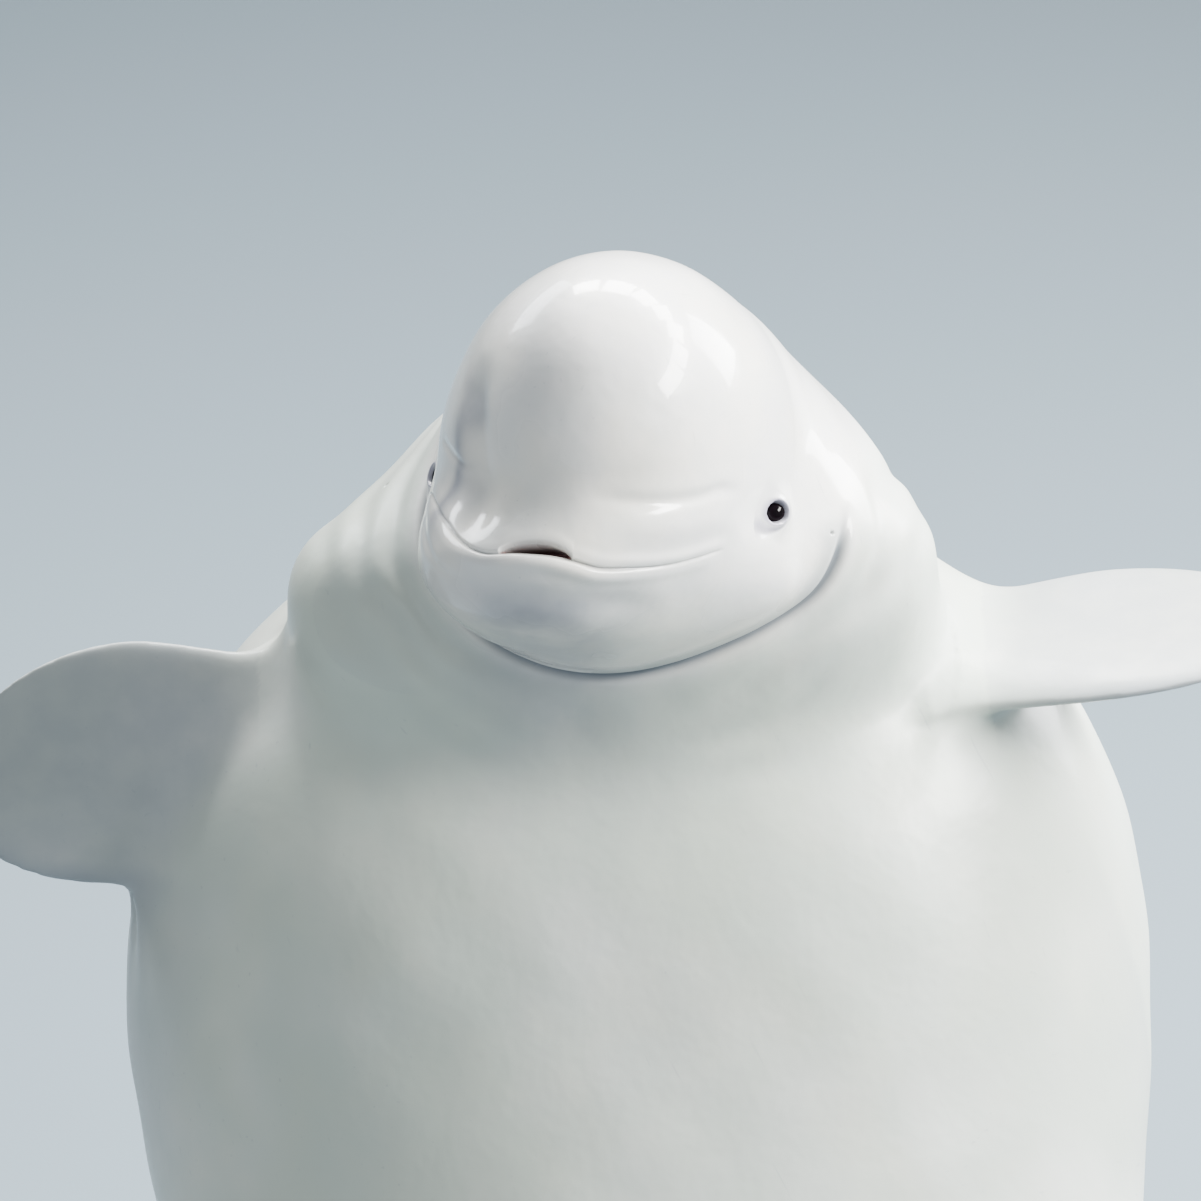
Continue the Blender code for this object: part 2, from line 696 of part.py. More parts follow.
def main():
    """Builds every piece."""
    for obj in list(bpy.data.objects):
        bpy.data.objects.remove(obj, do_unlink=True)
    whale, guides = collections()
    body = body_cutter(guides)
    loft("tail_stock", ring_points(stock_rings()), "whale_skin", whale)
    loft("trunk", ring_points(trunk_rings()), "whale_skin", whale)
    loft("neck", ring_points(neck_rings()), "whale_skin", whale)
    head = loft("head", ring_points(head_rings()), "whale_skin", whale, face_tip())
    jaw = loft("lower_jaw", ring_points(head_rings()), "whale_skin", whale, face_tip())
    boolean(head, jaw_block("jaw_space", HALF_GAP, guides))
    boolean(jaw, jaw_block("jaw_block", -HALF_GAP, guides), "INTERSECT")
    for name, side in (("eye_left", 1), ("eye_right", -1)):
        middle = eye_middle(side)
        ball(name, middle, EYE_RADIUS, "eye_dark", whale)
        socket = ball(f"{name}_socket", middle, EYE_RADIUS + GAP, None, guides)
        boolean(head, as_guide(socket))
    flipper("flipper_left", 1, FLIPPER_LEFT, whale, body)
    flipper("flipper_right", -1, FLIPPER_RIGHT, whale, body)
    fluke("fluke_left", 1, whale, body)
    fluke("fluke_right", -1, whale, body)
    stand_base(whale)
    stand_rod("stand_rod_front", ROD_FRONT, whale, body)
    stand_rod("stand_rod_rear", ROD_REAR, whale, body)


if __name__ == "__main__":
    main()
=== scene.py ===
"""Looks of a life-size beluga whale that leans back on a display stand.

One skin takes the place of the parted solids of flesh. It starts from their joined
shape, settles on the same smooth field that shaped them, gets finer where the face
needs it, and is then carved with mouth, lids, creases and marks.
"""

import logging
import math
from dataclasses import dataclass, field
from enum import Enum
from functools import cached_property

import bmesh
import bpy
import numpy as np
from mathutils import Matrix, Vector


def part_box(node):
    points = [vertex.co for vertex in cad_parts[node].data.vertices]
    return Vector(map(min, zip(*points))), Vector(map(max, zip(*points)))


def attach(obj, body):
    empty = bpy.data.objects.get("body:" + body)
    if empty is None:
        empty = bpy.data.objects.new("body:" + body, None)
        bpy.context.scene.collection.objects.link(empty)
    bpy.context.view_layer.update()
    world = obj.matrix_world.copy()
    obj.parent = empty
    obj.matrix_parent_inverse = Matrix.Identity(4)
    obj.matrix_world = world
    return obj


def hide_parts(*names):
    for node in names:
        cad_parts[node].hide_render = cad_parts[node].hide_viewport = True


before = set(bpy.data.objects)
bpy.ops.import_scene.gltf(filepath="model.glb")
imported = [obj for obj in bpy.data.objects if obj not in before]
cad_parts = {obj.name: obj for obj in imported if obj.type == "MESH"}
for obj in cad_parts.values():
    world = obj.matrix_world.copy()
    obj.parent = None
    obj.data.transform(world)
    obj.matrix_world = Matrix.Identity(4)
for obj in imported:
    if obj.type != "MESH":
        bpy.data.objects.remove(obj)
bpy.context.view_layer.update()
LOG = logging.getLogger("beluga_whale")
BODY = "root"
FAR = 10.0


class Slot(Enum):
    """Material slots of the record that the pieces take their finish from."""

    SKIN = "whale_skin"
    EYE = "eye_dark"
    PAINT = "stand_paint"
    STEEL = "stand_steel"


class Side(Enum):
    """Sides of the whale, as the sign of X and of the head's left axis."""

    LEFT = 1
    RIGHT = -1


def smooth_min(a: np.ndarray, b: np.ndarray, blend: float | np.ndarray) -> np.ndarray:
    """Joins two fields with a rounded hollow.

    Args:
        a: First field.
        b: Second field.
        blend: Width of the rounding.

    Returns:
        The lower field, lowered further where they cross.
    """
    h = np.clip(0.5 + 0.5 * (b - a) / blend, 0.0, 1.0)
    return b * (1.0 - h) + a * h - blend * h * (1.0 - h)


def ramp(value: np.ndarray, low: float, high: float) -> np.ndarray:
    """Smooth step.

    Args:
        value: Numbers to map.
        low: Where the step starts, at 0.
        high: Where it ends, at 1, above or below low.

    Returns:
        Numbers from 0 to 1.
    """
    t = np.clip((value - low) / (high - low), 0.0, 1.0)
    return t * t * (3.0 - 2.0 * t)


def bump(value: np.ndarray, width: float) -> np.ndarray:
    """Bell curve of height 1 round zero."""
    return np.exp(-((value / width) ** 2))


def turn(axis: np.ndarray, degrees: float) -> np.ndarray:
    """Rotation matrix about an axis of unit length."""
    return np.array(Matrix.Rotation(math.radians(degrees), 3, Vector(axis)))


def curve(value: np.ndarray, points: tuple[tuple[float, float], ...]) -> np.ndarray:
    """Smooth curve through points.

    Args:
        value: Where to read the curve.
        points: Places and heights, in order of place.

    Returns:
        Heights, level beyond the ends.
    """
    places, heights = (np.array(column) for column in zip(*points))
    slope = np.gradient(heights, places)
    slope[[0, -1]] = 0.0
    value = np.clip(value, places[0], places[-1])
    i = np.clip(np.searchsorted(places, value) - 1, 0, len(places) - 2)
    width = places[i + 1] - places[i]
    t = (value - places[i]) / width
    return (
        heights[i] * (2 * t**3 - 3 * t**2 + 1)
        + heights[i + 1] * (3 * t**2 - 2 * t**3)
        + slope[i] * width * (t**3 - 2 * t**2 + t)
        + slope[i + 1] * width * (t**3 - t**2)
    )


@dataclass(frozen=True)
class Mass:
    """One rounded mass of flesh.

    Attributes:
        middle: Its middle.
        half_sizes: Half its size along each axis.
        power: 2 for an ellipsoid, more for a fuller form.
    """

    middle: tuple[float, float, float]
    half_sizes: tuple[float, float, float]
    power: float = 2.0

    def field(self, points: np.ndarray) -> np.ndarray:
        """Field that is zero on the mass's surface.

        Args:
            points: Places in the mass's own axes.

        Returns:
            Rough distances, negative inside.
        """
        d = points - np.array(self.middle)
        q = (np.abs(d / np.array(self.half_sizes)) ** self.power).sum(axis=1)
        q = np.maximum(q ** (1.0 / self.power), 1e-6)
        return np.linalg.norm(d, axis=1) * (1.0 - 1.0 / q)


@dataclass(frozen=True)
class BodyAxis:
    """Bent line from the notch of the flukes to the base of the neck, in the plane X = 0."""

    length: float = 3.75
    tail_angle: float = 5.0
    lean_angle: float = 65.0
    lean_power: float = 1.55
    tail_point: tuple[float, float] = (-2.02, 0.335)
    steps: int = 240
    margin: float = 0.4

    @cached_property
    def table(self) -> tuple[np.ndarray, np.ndarray, np.ndarray, np.ndarray]:
        """Samples of the place along the line, its angle, y and z.

        Returns:
            Place, angle, y and z of each sample.
        """
        s = np.linspace(-self.margin, self.length + self.margin, self.steps)
        along = np.clip(s, 0.0, None) / self.length
        angle = np.radians(self.tail_angle + self.lean_angle * along**self.lean_power)
        step = s[1] - s[0]
        y = np.cumsum(np.cos(angle)) * step
        z = np.cumsum(np.sin(angle)) * step
        y += self.tail_point[0] - np.interp(0.0, s, y)
        z += self.tail_point[1] - np.interp(0.0, s, z)
        return s, angle, y, z

    def at(self, s: np.ndarray | float) -> tuple[np.ndarray, np.ndarray, np.ndarray]:
        """y, z and angle of the line at s."""
        table, angle, y, z = self.table
        return np.interp(s, table, y), np.interp(s, table, z), np.interp(s, table, angle)

    def frame(self, s: float) -> tuple[np.ndarray, np.ndarray, np.ndarray]:
        """Point of the line at s, and the directions ahead and to the belly there.

        Args:
            s: Place along the line.

        Returns:
            The point, then the two directions.
        """
        y, z, angle = (float(v) for v in self.at(s))
        ahead = np.array([0.0, math.cos(angle), math.sin(angle)])
        belly = np.array([0.0, -math.sin(angle), math.cos(angle)])
        return np.array([0.0, y, z]), ahead, belly

    def place(self, points: np.ndarray) -> tuple[np.ndarray, np.ndarray]:
        """Place along the line and height towards the belly, for each point.

        Args:
            points: World places.

        Returns:
            Places along and heights.
        """
        y, z = points[:, 1], points[:, 2]
        coarse = np.linspace(-0.3, self.length + 0.3, 40)
        cy, cz, _ = self.at(coarse)
        gap = (y[:, None] - cy) ** 2 + (z[:, None] - cz) ** 2
        s = coarse[gap.argmin(axis=1)]
        for _ in range(5):
            ay, az, angle = self.at(s)
            along = (y - ay) * np.cos(angle) + (z - az) * np.sin(angle)
            height = -(y - ay) * np.sin(angle) + (z - az) * np.cos(angle)
            bend = (self.at(s + 0.01)[2] - self.at(s - 0.01)[2]) / 0.02
            s = s + along / np.maximum(1.0 - bend * height, 0.35)
            s = np.clip(s, -0.39, self.length + 0.39)
        ay, az, angle = self.at(s)
        height = -(y - ay) * np.sin(angle) + (z - az) * np.cos(angle)
        return s, height


@dataclass(frozen=True)
class Trunk:
    """Trunk and tail stock, swept along the body's axis."""

    axis: BodyAxis
    half_widths: tuple[tuple[float, float], ...] = (
        (0.00, 0.030),
        (0.18, 0.052),
        (0.42, 0.070),
        (0.75, 0.100),
        (1.15, 0.168),
        (1.60, 0.262),
        (2.10, 0.366),
        (2.60, 0.448),
        (3.00, 0.515),
        (3.26, 0.543),
    )
    backs: tuple[tuple[float, float], ...] = (
        (0.00, 0.016),
        (0.18, 0.034),
        (0.42, 0.088),
        (0.75, 0.138),
        (1.15, 0.195),
        (1.60, 0.255),
        (2.10, 0.310),
        (2.60, 0.342),
        (3.00, 0.352),
        (3.26, 0.352),
    )
    bellies: tuple[tuple[float, float], ...] = (
        (0.00, 0.016),
        (0.18, 0.034),
        (0.42, 0.080),
        (0.75, 0.128),
        (1.15, 0.185),
        (1.60, 0.255),
        (2.10, 0.322),
        (2.60, 0.362),
        (3.00, 0.376),
        (3.26, 0.376),
    )
    power: float = 2.15
    shoulder_place: float = 3.26
    shoulder_taper: float = 0.54
    tail_taper: float = 0.10
    taper_power: float = 2.2
    ridge_place: float = 1.72
    ridge_length: float = 0.34
    ridge_height: float = 0.022
    ridge_width: float = 0.055

    def field(self, points: np.ndarray) -> np.ndarray:
        """Field of the trunk, its ridge along the back included.

        Args:
            points: World places.

        Returns:
            Rough distances, negative inside.
        """
        s, height = self.axis.place(points)
        x = points[:, 0]
        half = curve(s, self.half_widths)
        rise = np.where(height > 0, curve(s, self.bellies), curve(s, self.backs))
        front = np.maximum(s - self.shoulder_place, 0.0) / self.shoulder_taper
        beyond = front + np.maximum(-s, 0.0) / self.tail_taper
        q = np.abs(x / half) ** self.power + np.abs(height / rise) ** self.power
        q = np.maximum((q + beyond**self.taper_power) ** (1.0 / self.power), 1e-6)
        size = np.sqrt(x**2 + height**2 + (self.shoulder_taper * front) ** 2)
        along = (s - self.ridge_place) / self.ridge_length
        ridge = self.ridge_height * np.exp(-(along**2) - (x / self.ridge_width) ** 2)
        return size * (1.0 - 1.0 / q) - np.where(height < 0, ridge, 0.0)


@dataclass(frozen=True)
class Head:
    """Head in its own axes: forward, left and up, with the origin between the eyes."""

    neck_base: tuple[float, float, float]
    offset: tuple[float, float, float] = (0.0, -0.300, 0.240)
    lift: float = 33.0
    yaw: float = 17.0
    roll: float = 10.0
    cranium: Mass = Mass((-0.050, 0.001, 0.030), (0.240, 0.182, 0.205))
    nape: Mass = Mass((-0.200, 0.020, -0.022), (0.250, 0.167, 0.148), 2.2)
    melon: Mass = Mass((0.078, 0.021, 0.072), (0.180, 0.143, 0.170), 2.1)
    face: Mass = Mass((0.050, -0.008, -0.069), (0.223, 0.146, 0.087), 2.2)
    throat: Mass = Mass((-0.080, 0.011, -0.055), (0.200, 0.187, 0.079), 2.2)
    melon_blend: float = 0.060
    face_blend: float = 0.050
    keel: float = 1.2
    slant: float = 0.14

    @cached_property
    def origin(self) -> np.ndarray:
        """World place between the eyes."""
        return np.array(self.neck_base) + np.array(self.offset)

    @cached_property
    def axes(self) -> np.ndarray:
        """World directions forward, left and up, as columns.

        Returns:
            A matrix of three columns.
        """
        lift = math.radians(self.lift)
        forward = np.array([0.0, -math.cos(lift), math.sin(lift)])
        up = np.array([0.0, math.sin(lift), math.cos(lift)])
        left = np.array([1.0, 0.0, 0.0])
        axes = turn(up, -self.yaw) @ np.column_stack([forward, left, up])
        return turn(axes[:, 0], -self.roll) @ axes

    def place(self, points: np.ndarray) -> np.ndarray:
        """World points in the head's own axes."""
        return (points - self.origin) @ self.axes

    def world(self, point: tuple[float, float, float]) -> np.ndarray:
        """A point of the head's own axes in the world."""
        return self.origin + self.axes @ np.array(point)

    def field(self, points: np.ndarray) -> np.ndarray:
        """Field of cranium, melon, face, throat and nape.

        Args:
            points: World places.

        Returns:
            Rough distances, negative inside.
        """
        p = self.place(points)
        upper = smooth_min(self.cranium.field(p), self.melon.field(p), self.melon_blend)
        rise = self.keel * p[:, 1] ** 2 + self.slant * p[:, 1]
        keeled = p - np.outer(rise, (0.0, 0.0, 1.0))
        lower = smooth_min(self.face.field(keeled), self.throat.field(p), self.face_blend)
        front = smooth_min(upper, lower, self.melon_blend)
        return smooth_min(front, self.nape.field(p), self.face_blend)


@dataclass(frozen=True)
class Neck:
    """Neck and the roll of fat below it."""

    base: tuple[float, float, float]
    neck: Mass = Mass((0.014, -0.150, 0.030), (0.238, 0.210, 0.200), 2.2)
    roll: Mass = Mass((0.0, -0.207, -0.010), (0.335, 0.185, 0.150), 2.3)
    angle: float = 70.0
    roll_blend: float = 0.070

    def field(self, points: np.ndarray) -> np.ndarray:
        """Field of the neck with its roll.

        Args:
            points: World places.

        Returns:
            Rough distances, negative inside.
        """
        tilt = turn(np.array([1.0, 0.0, 0.0]), self.angle - 90.0)
        p = (points - np.array(self.base)) @ tilt
        return smooth_min(self.neck.field(p), self.roll.field(p), self.roll_blend)


def paddle(across: np.ndarray, high: np.ndarray, half: np.ndarray, thick: np.ndarray) -> np.ndarray:
    """Field of a flat oval section.

    Args:
        across: Distance from the section's middle along its chord.
        high: Height above the chord.
        half: Half the chord.
        thick: Half the thickness.

    Returns:
        Distance from the oval, negative inside.
    """
    near = np.hypot(across / half, high / thick)
    steep = np.hypot(across / half**2, high / thick**2)
    return near * (near - 1.0) / np.maximum(steep, 1e-6)


@dataclass(frozen=True)
class Flipper:
    """Broad rounded flipper.

    Attributes:
        axis: The body's axis.
        side: Which flipper it is.
        place: Where it roots along the axis.
        height: How far its root lies towards the belly.
        pitch: Turn of the blade about its own length, in degrees.
        lift: The head's lift, which the rise is measured against.
    """

    axis: BodyAxis
    side: Side
    place: float
    height: float
    pitch: float
    lift: float
    root: float = 0.330
    length: float = 0.368
    rise: float = 4.5
    forward: float = 6.0
    chord: float = 0.262
    thick: float = 0.050
    edge: float = 0.002
    narrow: float = 0.86
    widest: float = 0.55
    round_from: float = 0.45
    sweep: float = 0.022
    end: float = 0.997
    reach: float = 0.62

    @cached_property
    def frame(self) -> tuple[np.ndarray, np.ndarray, np.ndarray, np.ndarray]:
        """Root point and the directions along, fore and up of the blade.

        Returns:
            The point, then the three directions.
        """
        origin, _, belly = self.axis.frame(self.place)
        root = origin + belly * self.height + np.array([self.side.value * self.root, 0, 0])
        lift = math.radians(self.lift)
        toward = np.array([0.0, -math.cos(lift), math.sin(lift)])
        rise = np.array([0.0, math.sin(lift), math.cos(lift)])
        along = np.array([self.side.value, 0.0, 0.0])
        along += math.tan(math.radians(self.rise)) * rise
        along += math.tan(math.radians(self.forward)) * toward
        along /= np.linalg.norm(along)
        pitch = math.radians(self.pitch)
        fore = np.array([0.0, math.cos(pitch), math.sin(pitch)])
        fore -= along * (fore @ along)
        fore /= np.linalg.norm(fore)
        return root, along, fore, np.cross(along, fore)

    def local(self, points: np.ndarray) -> tuple[np.ndarray, np.ndarray, np.ndarray]:
        """Share of the length, distance across the chord and height of each point.

        Args:
            points: World places.

        Returns:
            Share, distance and height.
        """
        root, along, fore, up = self.frame
        p = points - root
        return p @ along / self.length, p @ fore, p @ up

    def section(self, t: np.ndarray) -> tuple[np.ndarray, np.ndarray, np.ndarray]:
        """Half chord, shift of the middle and half thickness at a share of the length.

        Args:
            t: Share of the length.

        Returns:
            Half chord, shift and half thickness.
        """
        end = np.maximum(t - self.round_from, 0.0) / (1.0 - self.round_from)
        swell = np.sin(0.5 * math.pi * np.clip(t / self.widest, 0.0, 1.0)) ** 2
        swell = self.narrow + (1.0 - self.narrow) * swell
        half = 0.5 * self.chord * swell * np.sqrt(np.maximum(1.0 - end**2.4, 1e-4))
        thick = 0.5 * self.thick * (1.0 - 0.62 * t) * np.sqrt(np.maximum(1.0 - end**3, 0.0))
        return half, -self.sweep * end**1.5, np.maximum(thick, self.edge)

    def field(self, points: np.ndarray) -> np.ndarray:
        """Field of the blade.

        Args:
            points: World places.

        Returns:
            Rough distances, negative inside.
        """
        values = np.full(len(points), FAR)
        near = np.linalg.norm(points - self.frame[0], axis=1) < self.reach
        t, across, high = self.local(points[near])
        inside = np.clip(t, 0.0, self.end)
        half, middle, thick = self.section(inside)
        flat = paddle(across - middle, high, half, thick)
        beyond = np.abs(t - inside) * self.length
        values[near] = np.where(beyond > 0, np.hypot(np.maximum(flat, 0.0), beyond), flat)
        return values


@dataclass(frozen=True)
class Flukes:
    """Both flukes, with the notch between them."""

    axis: BodyAxis
    span: float = 0.520
    front: float = 0.400
    lobe: float = 0.095
    thick: float = 0.046
    edge: float = 0.007
    dip: float = 0.018
    tip: float = 0.030
    end: float = 0.985

    def local(self, points: np.ndarray) -> tuple[np.ndarray, np.ndarray, np.ndarray]:
        """Share of the span, distance ahead of the notch and height of each point.

        Args:
            points: World places.

        Returns:
            Share, distance and height.
        """
        origin, ahead, belly = self.axis.frame(0.0)
        p = points - origin
        u = np.abs(p[:, 0]) / self.span
        return u, p @ ahead, p @ belly - self.dip * u**2

    def edges(self, u: np.ndarray) -> tuple[np.ndarray, np.ndarray]:
        """Front and rear edge at a share of the span."""
        front = self.tip + (self.front - self.tip) * (1.0 - u**1.7) ** 0.95
        return front, self.tip * u**3 - self.lobe * np.sin(math.pi * u**0.80) ** 0.9

    def field(self, points: np.ndarray) -> np.ndarray:
        """Field of both flukes.

        Args:
            points: World places.

        Returns:
            Rough distances, negative inside.
        """
        u, ahead, high = self.local(points)
        inside = np.clip(u, 0.0, self.end)
        front, rear = self.edges(inside)
        thick = 0.5 * (self.edge + (self.thick - self.edge) * (1.0 - inside) ** 1.2)
        flat = paddle(ahead - 0.5 * (front + rear), high, 0.5 * (front - rear), thick)
        beyond = (u - inside) * self.span
        return np.where(beyond > 0, np.hypot(np.maximum(flat, 0.0), beyond), flat)


@dataclass(frozen=True)
class EyeSocket:
    """An eyeball's seat, read from its solid.

    Attributes:
        side: Which eye it is.
        head: The head that it sits in.
    """

    side: Side
    head: Head
    lid: float = 0.0012
    mound_blend: float = 0.020
    gaze_forward: float = 45.0
    gaze_down: float = -6.0
    half_long: float = 29.0
    half_high: float = 26.5
    tilt: float = 18.0

    @property
    def node(self) -> str:
        """Name of the eyeball's solid."""
        return f"eye_{self.side.name.lower()}"

    @cached_property
    def middle(self) -> np.ndarray:
        """World place of the eyeball's middle."""
        low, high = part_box(self.node)
        return np.array((low + high) / 2)

    @cached_property
    def radius(self) -> float:
        """The eyeball's radius."""
        low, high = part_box(self.node)
        return float(max(high - low)) / 2

    @cached_property
    def gaze(self) -> np.ndarray:
        """World axes of the gaze: outward, towards the front corner and up, as columns.

        Returns:
            A matrix of three columns.
        """
        out = np.array([math.sin(math.radians(self.gaze_forward)), 0.0, 0.0])
        out[1] = self.side.value * math.cos(math.radians(self.gaze_forward))
        out[2] = -math.sin(math.radians(self.gaze_down))
        out /= np.linalg.norm(out)
        up = np.array([0.0, 0.0, 1.0])
        up -= out * (up @ out)
        up /= np.linalg.norm(up)
        fore = np.cross(up, out) * self.side.value
        spin = turn(out, self.side.value * self.tilt)
        return self.head.axes @ np.column_stack([out, spin @ fore, spin @ up])

    def field(self, points: np.ndarray) -> np.ndarray:
        """Field of the lids' mound round the eyeball."""
        return np.linalg.norm(points - self.middle, axis=1) - self.radius - self.lid

    def opening(self, points: np.ndarray) -> np.ndarray:
        """How far out each point is seen from the gaze, with 1 at the edge of the lids.

        Args:
            points: World places.

        Returns:
            Numbers from 0 at the gaze upward.
        """
        p = (points - self.middle) @ self.gaze
        p /= np.maximum(np.linalg.norm(p, axis=1), 1e-6)[:, None]
        angle = np.degrees(np.arccos(np.clip(p[:, 0], -1.0, 1.0)))
        around = np.maximum(np.hypot(p[:, 1], p[:, 2]), 1e-6)
        long, high = p[:, 1] / around / self.half_long, p[:, 2] / around / self.half_high
        return angle * np.hypot(long, high)


@dataclass(frozen=True)
class WhaleForm:
    """The whole outside of the whale as one smooth field, negative inside."""

    axis: BodyAxis = BodyAxis()
    neck_blend: float = 0.105
    chin_blend: float = 0.026
    nape_blend: float = 0.120
    chin_height: tuple[float, float] = (-0.120, 0.000)
    cheek_place: tuple[float, float] = (0.045, -0.100)
    bent_side: tuple[float, float] = (-0.200, 0.160)
    bent_share: float = 0.45
    flipper_blend: float = 0.045
    fluke_blend: float = 0.070

    @cached_property
    def neck_base(self) -> tuple[float, float, float]:
        """Front end of the body's axis."""
        y, z, _ = self.axis.at(self.axis.length)
        return 0.0, float(y), float(z)

    @cached_property
    def trunk(self) -> Trunk:
        """Trunk and tail stock."""
        return Trunk(self.axis)

    @cached_property
    def head(self) -> Head:
        """The head."""
        return Head(self.neck_base)

    @cached_property
    def neck(self) -> Neck:
        """The neck."""
        return Neck(self.neck_base)

    @cached_property
    def flippers(self) -> tuple[Flipper, Flipper]:
        """Left and right flipper.

        Returns:
            The two flippers.
        """
        lift = self.head.lift
        left = Flipper(self.axis, Side.LEFT, 3.615, 0.130, -4.0, lift)
        right = Flipper(self.axis, Side.RIGHT, 3.545, 0.110, 72.0, lift)
        return left, right

    @cached_property
    def flukes(self) -> Flukes:
        """Both flukes."""
        return Flukes(self.axis)

    @cached_property
    def eyes(self) -> tuple[EyeSocket, EyeSocket]:
        """Seats of both eyes."""
        return EyeSocket(Side.LEFT, self.head), EyeSocket(Side.RIGHT, self.head)

    def rest_of_body(self, points: np.ndarray) -> np.ndarray:
        """Field of trunk and neck, without the head."""
        return smooth_min(self.trunk.field(points), self.neck.field(points), self.neck_blend)

    def head_seam(self, points: np.ndarray) -> np.ndarray:
        """Width of the rounding between head and neck: tight under the jaw, wide above.

        Args:
            points: World places.

        Returns:
            A width for each place.
        """
        ahead, left, up = self.head.place(points).T
        wide = ramp(up, *self.chin_height) * ramp(ahead, *self.cheek_place)
        wide *= self.bent_share + (1.0 - self.bent_share) * ramp(left, *self.bent_side)
        return self.chin_blend + (self.nape_blend - self.chin_blend) * wide

    def field(self, points: np.ndarray) -> np.ndarray:
        """Field of the whole whale.

        Args:
            points: World places.

        Returns:
            Rough distances, negative inside.
        """
        body = smooth_min(self.rest_of_body(points), self.head.field(points), self.head_seam(points))
        for flipper in self.flippers:
            body = smooth_min(body, flipper.field(points), self.flipper_blend)
        body = smooth_min(body, self.flukes.field(points), self.fluke_blend)
        for eye in self.eyes:
            body = smooth_min(body, eye.field(points), eye.mound_blend)
        return body

    def slope(self, points: np.ndarray, step: float = 0.0008) -> np.ndarray:
        """Gradient of the field, from four samples round each point.

        Args:
            points: World places.
            step: Distance between the samples.

        Returns:
            A vector for each place.
        """
        total = np.zeros_like(points)
        for corner in ((1, 1, 1), (1, -1, -1), (-1, 1, -1), (-1, -1, 1)):
            offset = np.array(corner, float)
            total += self.field(points + step * offset)[:, None] * offset
        return total / (4.0 * step)

    def settle(self, points: np.ndarray, rounds: int = 4, most: float = 0.008) -> np.ndarray:
        """Moves points onto the surface.

        Args:
            points: Points near the surface.
            rounds: How many times to correct them.
            most: The longest step of one round.

        Returns:
            The points on the surface.
        """
        for _ in range(rounds):
            slope = self.slope(points)
            step = self.field(points) / np.maximum((slope**2).sum(axis=1), 1e-4)
            move = -slope * step[:, None]
            length = np.linalg.norm(move, axis=1)
            points = points + move * np.minimum(1.0, most / np.maximum(length, 1e-9))[:, None]
        return points

    def normals(self, points: np.ndarray) -> np.ndarray:
        """Outward directions of unit length."""
        slope = self.slope(points)
        return slope / np.maximum(np.linalg.norm(slope, axis=1), 1e-9)[:, None]


@dataclass(frozen=True)
class Waves:
    """Low uneven swells of the surface, a sum of sines along mixed directions.

    Attributes:
        length: Typical length of a swell.
        seed: Seed of the directions.
        count: How many sines.
    """

    length: float
    seed: int
    count: int = 14

    def value(self, points: np.ndarray) -> np.ndarray:
        """Height at each point, mostly from -1 to 1.

        Args:
            points: World places.

        Returns:
            A height for each place.
        """
        rng = np.random.default_rng(self.seed)
        directions = rng.normal(size=(self.count, 3))
        directions /= np.linalg.norm(directions, axis=1)[:, None]
        speeds = rng.uniform(0.7, 1.6, self.count) * 2.0 * math.pi / self.length
        phases = rng.uniform(0.0, 2.0 * math.pi, self.count)
        waves = np.sin(points @ (directions * speeds[:, None]).T + phases)
        return waves.sum(axis=1) / math.sqrt(self.count)


@dataclass
class Surface:
    """Points of the skin with what the carving needs to know of them.

    Attributes:
        form: The whale's field.
        points: World places on the smooth surface.
        marks: Named masks from 0 to 1 that the material reads.
        depth: How far each point is sunk, along the normal.
    """

    form: WhaleForm
    points: np.ndarray
    marks: dict[str, np.ndarray] = field(default_factory=dict)

    def __post_init__(self) -> None:
        """Works out normals and places in the head's and the body's own axes."""
        self.normal = self.form.normals(self.points)
        self.in_head = self.form.head.place(self.points)
        self.head_normal = self.normal @ self.form.head.axes
        self.along, self.height = self.form.axis.place(self.points)
        self.depth = np.zeros(len(self.points))
        self.angle = np.degrees(np.arctan2(self.in_head[:, 1], self.in_head[:, 0]))
        self.on_head = np.linalg.norm(self.in_head, axis=1) < 0.45

    def sink(self, amount: np.ndarray) -> None:
        """Lowers the surface by amount."""
        self.depth += amount

    def mark(self, name: str, amount: np.ndarray) -> None:
        """Raises a mask where amount is above it."""
        before = self.marks.get(name, np.zeros(len(self.points)))
        self.marks[name] = np.maximum(before, np.clip(amount, 0.0, 1.0))


